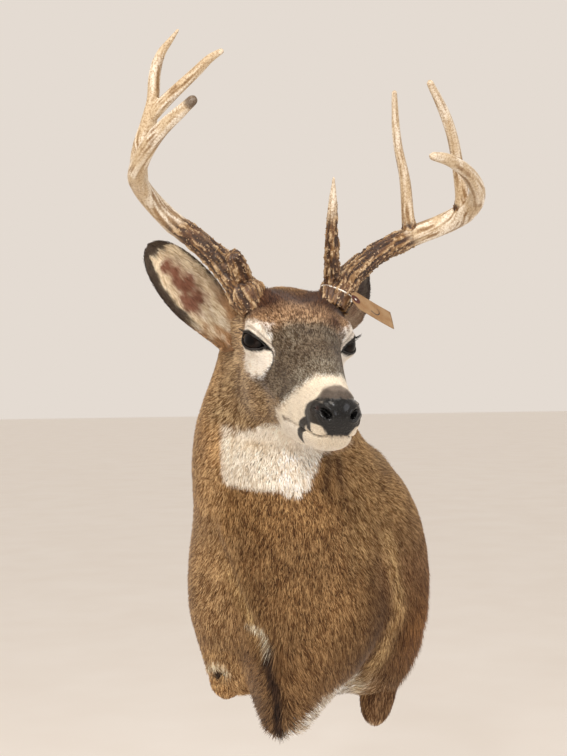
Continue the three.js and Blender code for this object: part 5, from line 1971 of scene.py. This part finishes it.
def card_place(flat, above):
    """Head-frame place of a point on the card, given along and across it, and how high off its middle."""
    along, wide = flat[..., 0], flat[..., 1]
    bow = 0.9 * np.sin(np.clip(along, 0, 60) / 60 * np.pi) + 0.004 * wide**2 * smooth(along, 5, 50)
    return (
        TAG_HOLE + TAG_ALONG * along[..., None] + TAG_WIDE * wide[..., None]
        + TAG_FACE * (above - 0.3 + bow * 0.4)[..., None]
    )


def make_tag():
    """Rings from the hole to the edge on one face, and back to the hole on the other."""
    angle = np.arange(TAG_STEPS) / TAG_STEPS * math.tau
    reach = outline_distance(angle)
    share = np.linspace(0, 1, TAG_RINGS) ** 1.15
    spread = TAG["hole"] + (reach[None] - TAG["hole"]) * share[:, None]
    flat = np.stack([np.cos(angle), np.sin(angle)], -1)[None] * spread[..., None]
    net = np.concatenate([flat, flat[::-1]])
    above = np.repeat([TAG["thickness"], -TAG["thickness"]], TAG_RINGS)[:, None] * 0.5 * np.ones(TAG_STEPS)
    points = card_place(net, above).reshape(-1, 3)
    row, column = np.mgrid[0:2 * TAG_RINGS, 0:TAG_STEPS]
    here = (row * TAG_STEPS + column).ravel()
    right = (row * TAG_STEPS + (column + 1) % TAG_STEPS).ravel()
    up = ((row + 1) % (2 * TAG_RINGS) * TAG_STEPS + column).ravel()
    both = ((row + 1) % (2 * TAG_RINGS) * TAG_STEPS + (column + 1) % TAG_STEPS).ravel()
    triangles = np.concatenate([np.stack([here, right, both], 1), np.stack([here, both, up], 1)])
    piece = make_mesh("tag_card", to_world(points), triangles)
    layer = piece.data.attributes.new("on_card", "FLOAT_VECTOR", "POINT")
    marks = np.zeros((len(points), 3), np.float32)
    marks[:, :2] = net.reshape(-1, 2)
    marks[:, 2] = above.ravel()
    layer.data.foreach_set("vector", marks.ravel())
    face_outwards(piece)
    return piece


# %% Manila with an eyelet
def card_material():
    """Manila card: straw tan, with darker fibres 0.8 mm wide, soiled in patches, and a red-brown eyelet.

    Its place is in mm on the card, so a scale of 1.3 gives the fibres and 0.06 the 17 mm patches.
    """
    material, tree = new_material("manila_card")
    place = node(tree, "ShaderNodeAttribute", attribute_name="on_card").outputs["Vector"]
    pressed = {"Scale": 1.3, "Detail": 5.0, "Roughness": 0.7}
    fibres = node(tree, "ShaderNodeTexNoise", {"Vector": place, **pressed})
    stains = node(tree, "ShaderNodeTexNoise", {"Vector": place, "Scale": 0.06, "Detail": 2.0})
    card = ramp(tree, fibres, [(0.34, "#8a6c4b"), (0.55, "#9d7f5b"), (0.72, "#aa8e6b")])
    soiled = ramp(tree, stains, [(0.4, "#e9dccb"), (0.6, "#ffffff")])
    colour = node(tree, "ShaderNodeMix", {"Factor": 1.0, "A": card, "B": soiled}, **MULTIPLIED)
    parts = node(tree, "ShaderNodeSeparateXYZ", {"Vector": place})
    flat = node(tree, "ShaderNodeCombineXYZ", {"X": parts.outputs["X"], "Y": parts.outputs["Y"]})
    from_hole = node(tree, "ShaderNodeVectorMath", {0: flat}, operation="LENGTH")
    edge = {"From Min": EYELET, "From Max": EYELET - 0.5}
    eyelet = node(tree, "ShaderNodeMapRange", {"Value": from_hole, **edge})
    red_brown = {"Factor": eyelet, "A": colour, "B": rgba("#4a1f18")}
    colour = node(tree, "ShaderNodeMix", red_brown, data_type="RGBA")
    bump = node(tree, "ShaderNodeBump", {"Height": fibres, "Strength": 0.35, "Distance": 0.0002})
    finish_surface(tree, {"Base Color": colour, "Roughness": 0.8, "Normal": bump})
    return material


tag = make_tag()
tag.data.materials.append(card_material())
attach(tag, "root")
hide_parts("tag")
print("tag", len(tag.data.polygons), "triangles")

# %% The pen stroke
def ink_material():
    """Blue-black ink soaked unevenly into the card, in blots about a millimetre wide."""
    soaked = [(0.35, "#16161c"), (0.7, "#2c2a30")]
    return mottled("ink", {"Scale": 900.0, "Detail": 2.0}, soaked, {"Roughness": 0.6})


stroke_path = smooth_curve(np.arange(len(PEN_STROKE)), np.array(PEN_STROKE)[:, 0])
stroke_rise = smooth_curve(np.arange(len(PEN_STROKE)), np.array(PEN_STROKE)[:, 1])
at = np.linspace(0, len(PEN_STROKE) - 1, 60)
flat = np.stack([stroke_path(at), stroke_rise(at)], 1)
lead = unit(np.gradient(flat, axis=0))
out = np.stack([-lead[:, 1], lead[:, 0]], 1) * (PEN_WIDTH * mix(1, 0.5, np.linspace(0, 1, 60)))[:, None]
height = -TAG["thickness"] / 2 * np.ones(60)
ribbon = [card_place(flat + out, height), card_place(flat, height - 0.08)]
ribbon += [card_place(flat - out, height), card_place(flat, height + 0.06)]
ink = net_piece("pen_stroke", [to_world(np.stack(ribbon, 1))])
ink.data.materials.append(ink_material())
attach(ink, "root")
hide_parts("tag")
print("pen stroke", len(ink.data.polygons), "triangles")

# %% String
LOOP_RADIUS = 22.8
LOOP_CENTRE = np.array([-59, 55.2, 50.4])
on_axis = unit(np.array([-0.46, 0.48, 1.0]))
PLY = 0.6
TWIST = 5.2  # mm for one turn of the two plies
KNOT_RADIUS, KNOT_TURNS = 1.3, 3.2
SHORT_ENDS = [(0.5, 7.0), (-0.4, 9.0)]  # how far each leans towards the tag, and its length


def plies(line, start=0.0):
    """Two thin strands wound round each other along a line."""
    line = np.asarray(line, float)
    gone = gone_along(line)
    even = np.linspace(0, gone[-1], max(8, int(gone[-1] / 0.7)))
    line = np.stack([np.interp(even, gone, line[:, k]) for k in range(3)], 1)
    tangent = unit(np.gradient(line, axis=0))
    normal = unit(np.cross(tangent, [0.31, 0.93, 0.17]))
    other = np.cross(tangent, normal)
    turn = start + even[:, None] / TWIST * math.tau
    wind = (normal * np.cos(turn) + other * np.sin(turn)) * (PLY * 0.85)
    width = np.full(len(line), PLY)
    return [to_world(sweep(line + sign * wind, width, 6)) for sign in (1, -1)]


def cotton_material():
    """Bleached cotton, matt and fuzzy, a little soiled every 4 mm or so, as handled string is."""
    soiled = [(0.35, "#ded6ca"), (0.6, "#fbf8f2")]
    surface = {"Roughness": 0.95, "Sheen Weight": 0.2}
    return mottled("cotton_string", {"Scale": 260.0, "Detail": 3.0}, soiled, surface)


to_hole = TAG_HOLE - LOOP_CENTRE
to_hole = unit(to_hole - on_axis * (to_hole @ on_axis))
sideways = np.cross(on_axis, to_hole)
turn = np.linspace(0, math.tau, 120)[:, None]
loop = LOOP_CENTRE + (to_hole * np.cos(turn) + sideways * np.sin(turn)) * LOOP_RADIUS
on_loop = LOOP_CENTRE + to_hole * LOOP_RADIUS
link = [on_loop, on_loop + (TAG_HOLE - on_loop) * 0.5, TAG_HOLE, TAG_HOLE + unit(TAG_HOLE - on_loop) * 0.9]
knot_turn = np.linspace(0, KNOT_TURNS * math.tau, 60)[:, None]
knot = on_loop + (
    to_hole * (np.cos(knot_turn) * KNOT_RADIUS + 0.6) + sideways * np.sin(knot_turn) * KNOT_RADIUS
    + on_axis * (knot_turn / 14 - 0.7)
)
strands = plies(loop) + plies(link) + plies(knot)
for seed, (across_it, along_it) in enumerate(SHORT_ENDS):
    hanging = unit(-on_axis + to_hole * across_it) * np.linspace(0, along_it, 10)[:, None]
    strands += plies(on_loop + TAG_FACE * 0.8 + hanging, seed)
string = net_piece("tag_twine", strands)
string.data.materials.append(cotton_material())
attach(string, "root")
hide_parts("tag_string")
print("string", len(string.data.polygons), "triangles")

# %% Board
def pine_material():
    """Planed pine, seen only from behind: pale, with darker growth bands 26 mm wide and finer lines."""
    return mottled(
        "pine_board", {"Scale": 1.0, "Detail": 6.0, "Distortion": 0.8},
        [(0.38, "#96683b"), (0.5, "#c39a66"), (0.65, "#d3b07e")], {"Roughness": 0.65},
        {"Strength": 0.3, "Distance": 0.0005}, stretch=(38.0, 4.0, 2.2),
    )


board = bpy.data.objects["back_board"]
board.data.materials.clear()
board.data.materials.append(pine_material())
print("board", [round(side, 3) for side in board.dimensions], "m")

# %% [markdown]
# ## Floor and light
# A plain pale floor far below the mount, so that no wall hides it from behind. The light is soft: a
# broad warm lamp above and to the left in front, weaker ones from the right, above and below, a small
# one for the glint in the eyes, and a pale sky.

# %% Floor
FLOOR_DROP = 0.62  # below the lowest point of the mount
FLOOR_HALF = 60.0


def make_floor():
    """Matt paint, with a drift in tone so faint that it only keeps the floor from looking like paper."""
    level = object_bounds()[0][2] - FLOOR_DROP
    corners = np.array([(-1, -1), (1, -1), (1, 1), (-1, 1)]) * FLOOR_HALF / MM
    points = np.column_stack([corners, np.full(4, level / MM)])
    floor = make_mesh("floor", points, np.array([(0, 1, 2), (0, 2, 3)]))
    faint = [(0.3, "#f2ece5"), (0.7, "#f5f0ea")]
    floor.data.materials.append(
        mottled("matt_floor_paint", {"Scale": 3.0, "Detail": 2.0}, faint, {"Roughness": 0.9})
    )
    return floor


make_floor()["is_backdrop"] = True
print("floor", FLOOR_DROP, "m below the mount")


# %% Light
def area_lamp(name, place, aim, size, power, tint):
    lamp = bpy.data.lights.new(name, "AREA")
    lamp.shape = "DISK"
    lamp.size = size
    lamp.energy = power
    lamp.color = linear(tint)
    holder = bpy.data.objects.new(name, lamp)
    holder.location = place
    holder.rotation_euler = (Vector(aim) - Vector(place)).to_track_quat("-Z", "Y").to_euler()
    bpy.context.scene.collection.objects.link(holder)


def set_light():
    world = bpy.data.worlds.new("pale_room")
    world.use_nodes = True
    backdrop = world.node_tree.nodes["Background"]
    backdrop.inputs["Color"].default_value = rgba("#e4dbd2")
    backdrop.inputs["Strength"].default_value = 1.0
    bpy.context.scene.world = world
    area_lamp("key_lamp", (-1.0, -2.1, 1.75), (0, -0.2, 0.2), 1.1, 26, "#fff4e6")
    area_lamp("fill_lamp", (1.9, -1.5, 0.7), (0, -0.15, 0.15), 1.4, 12, "#f6f7ff")
    area_lamp("top_lamp", (0.1, -0.7, 2.2), (0, -0.15, 0.2), 1.2, 8, "#fff8ef")
    area_lamp("low_lamp", (-0.3, -2.4, -0.75), (0, -0.3, 0.25), 1.5, 7, "#fff6ea")
    area_lamp("glint_lamp", (-0.55, -2.6, 1.5), (0, -0.3, 0.3), 0.2, 22, "#ffffff")
    bpy.context.scene.view_settings.view_transform = "Standard"


set_light()
print("lamps", [lamp.name for lamp in bpy.data.lights])
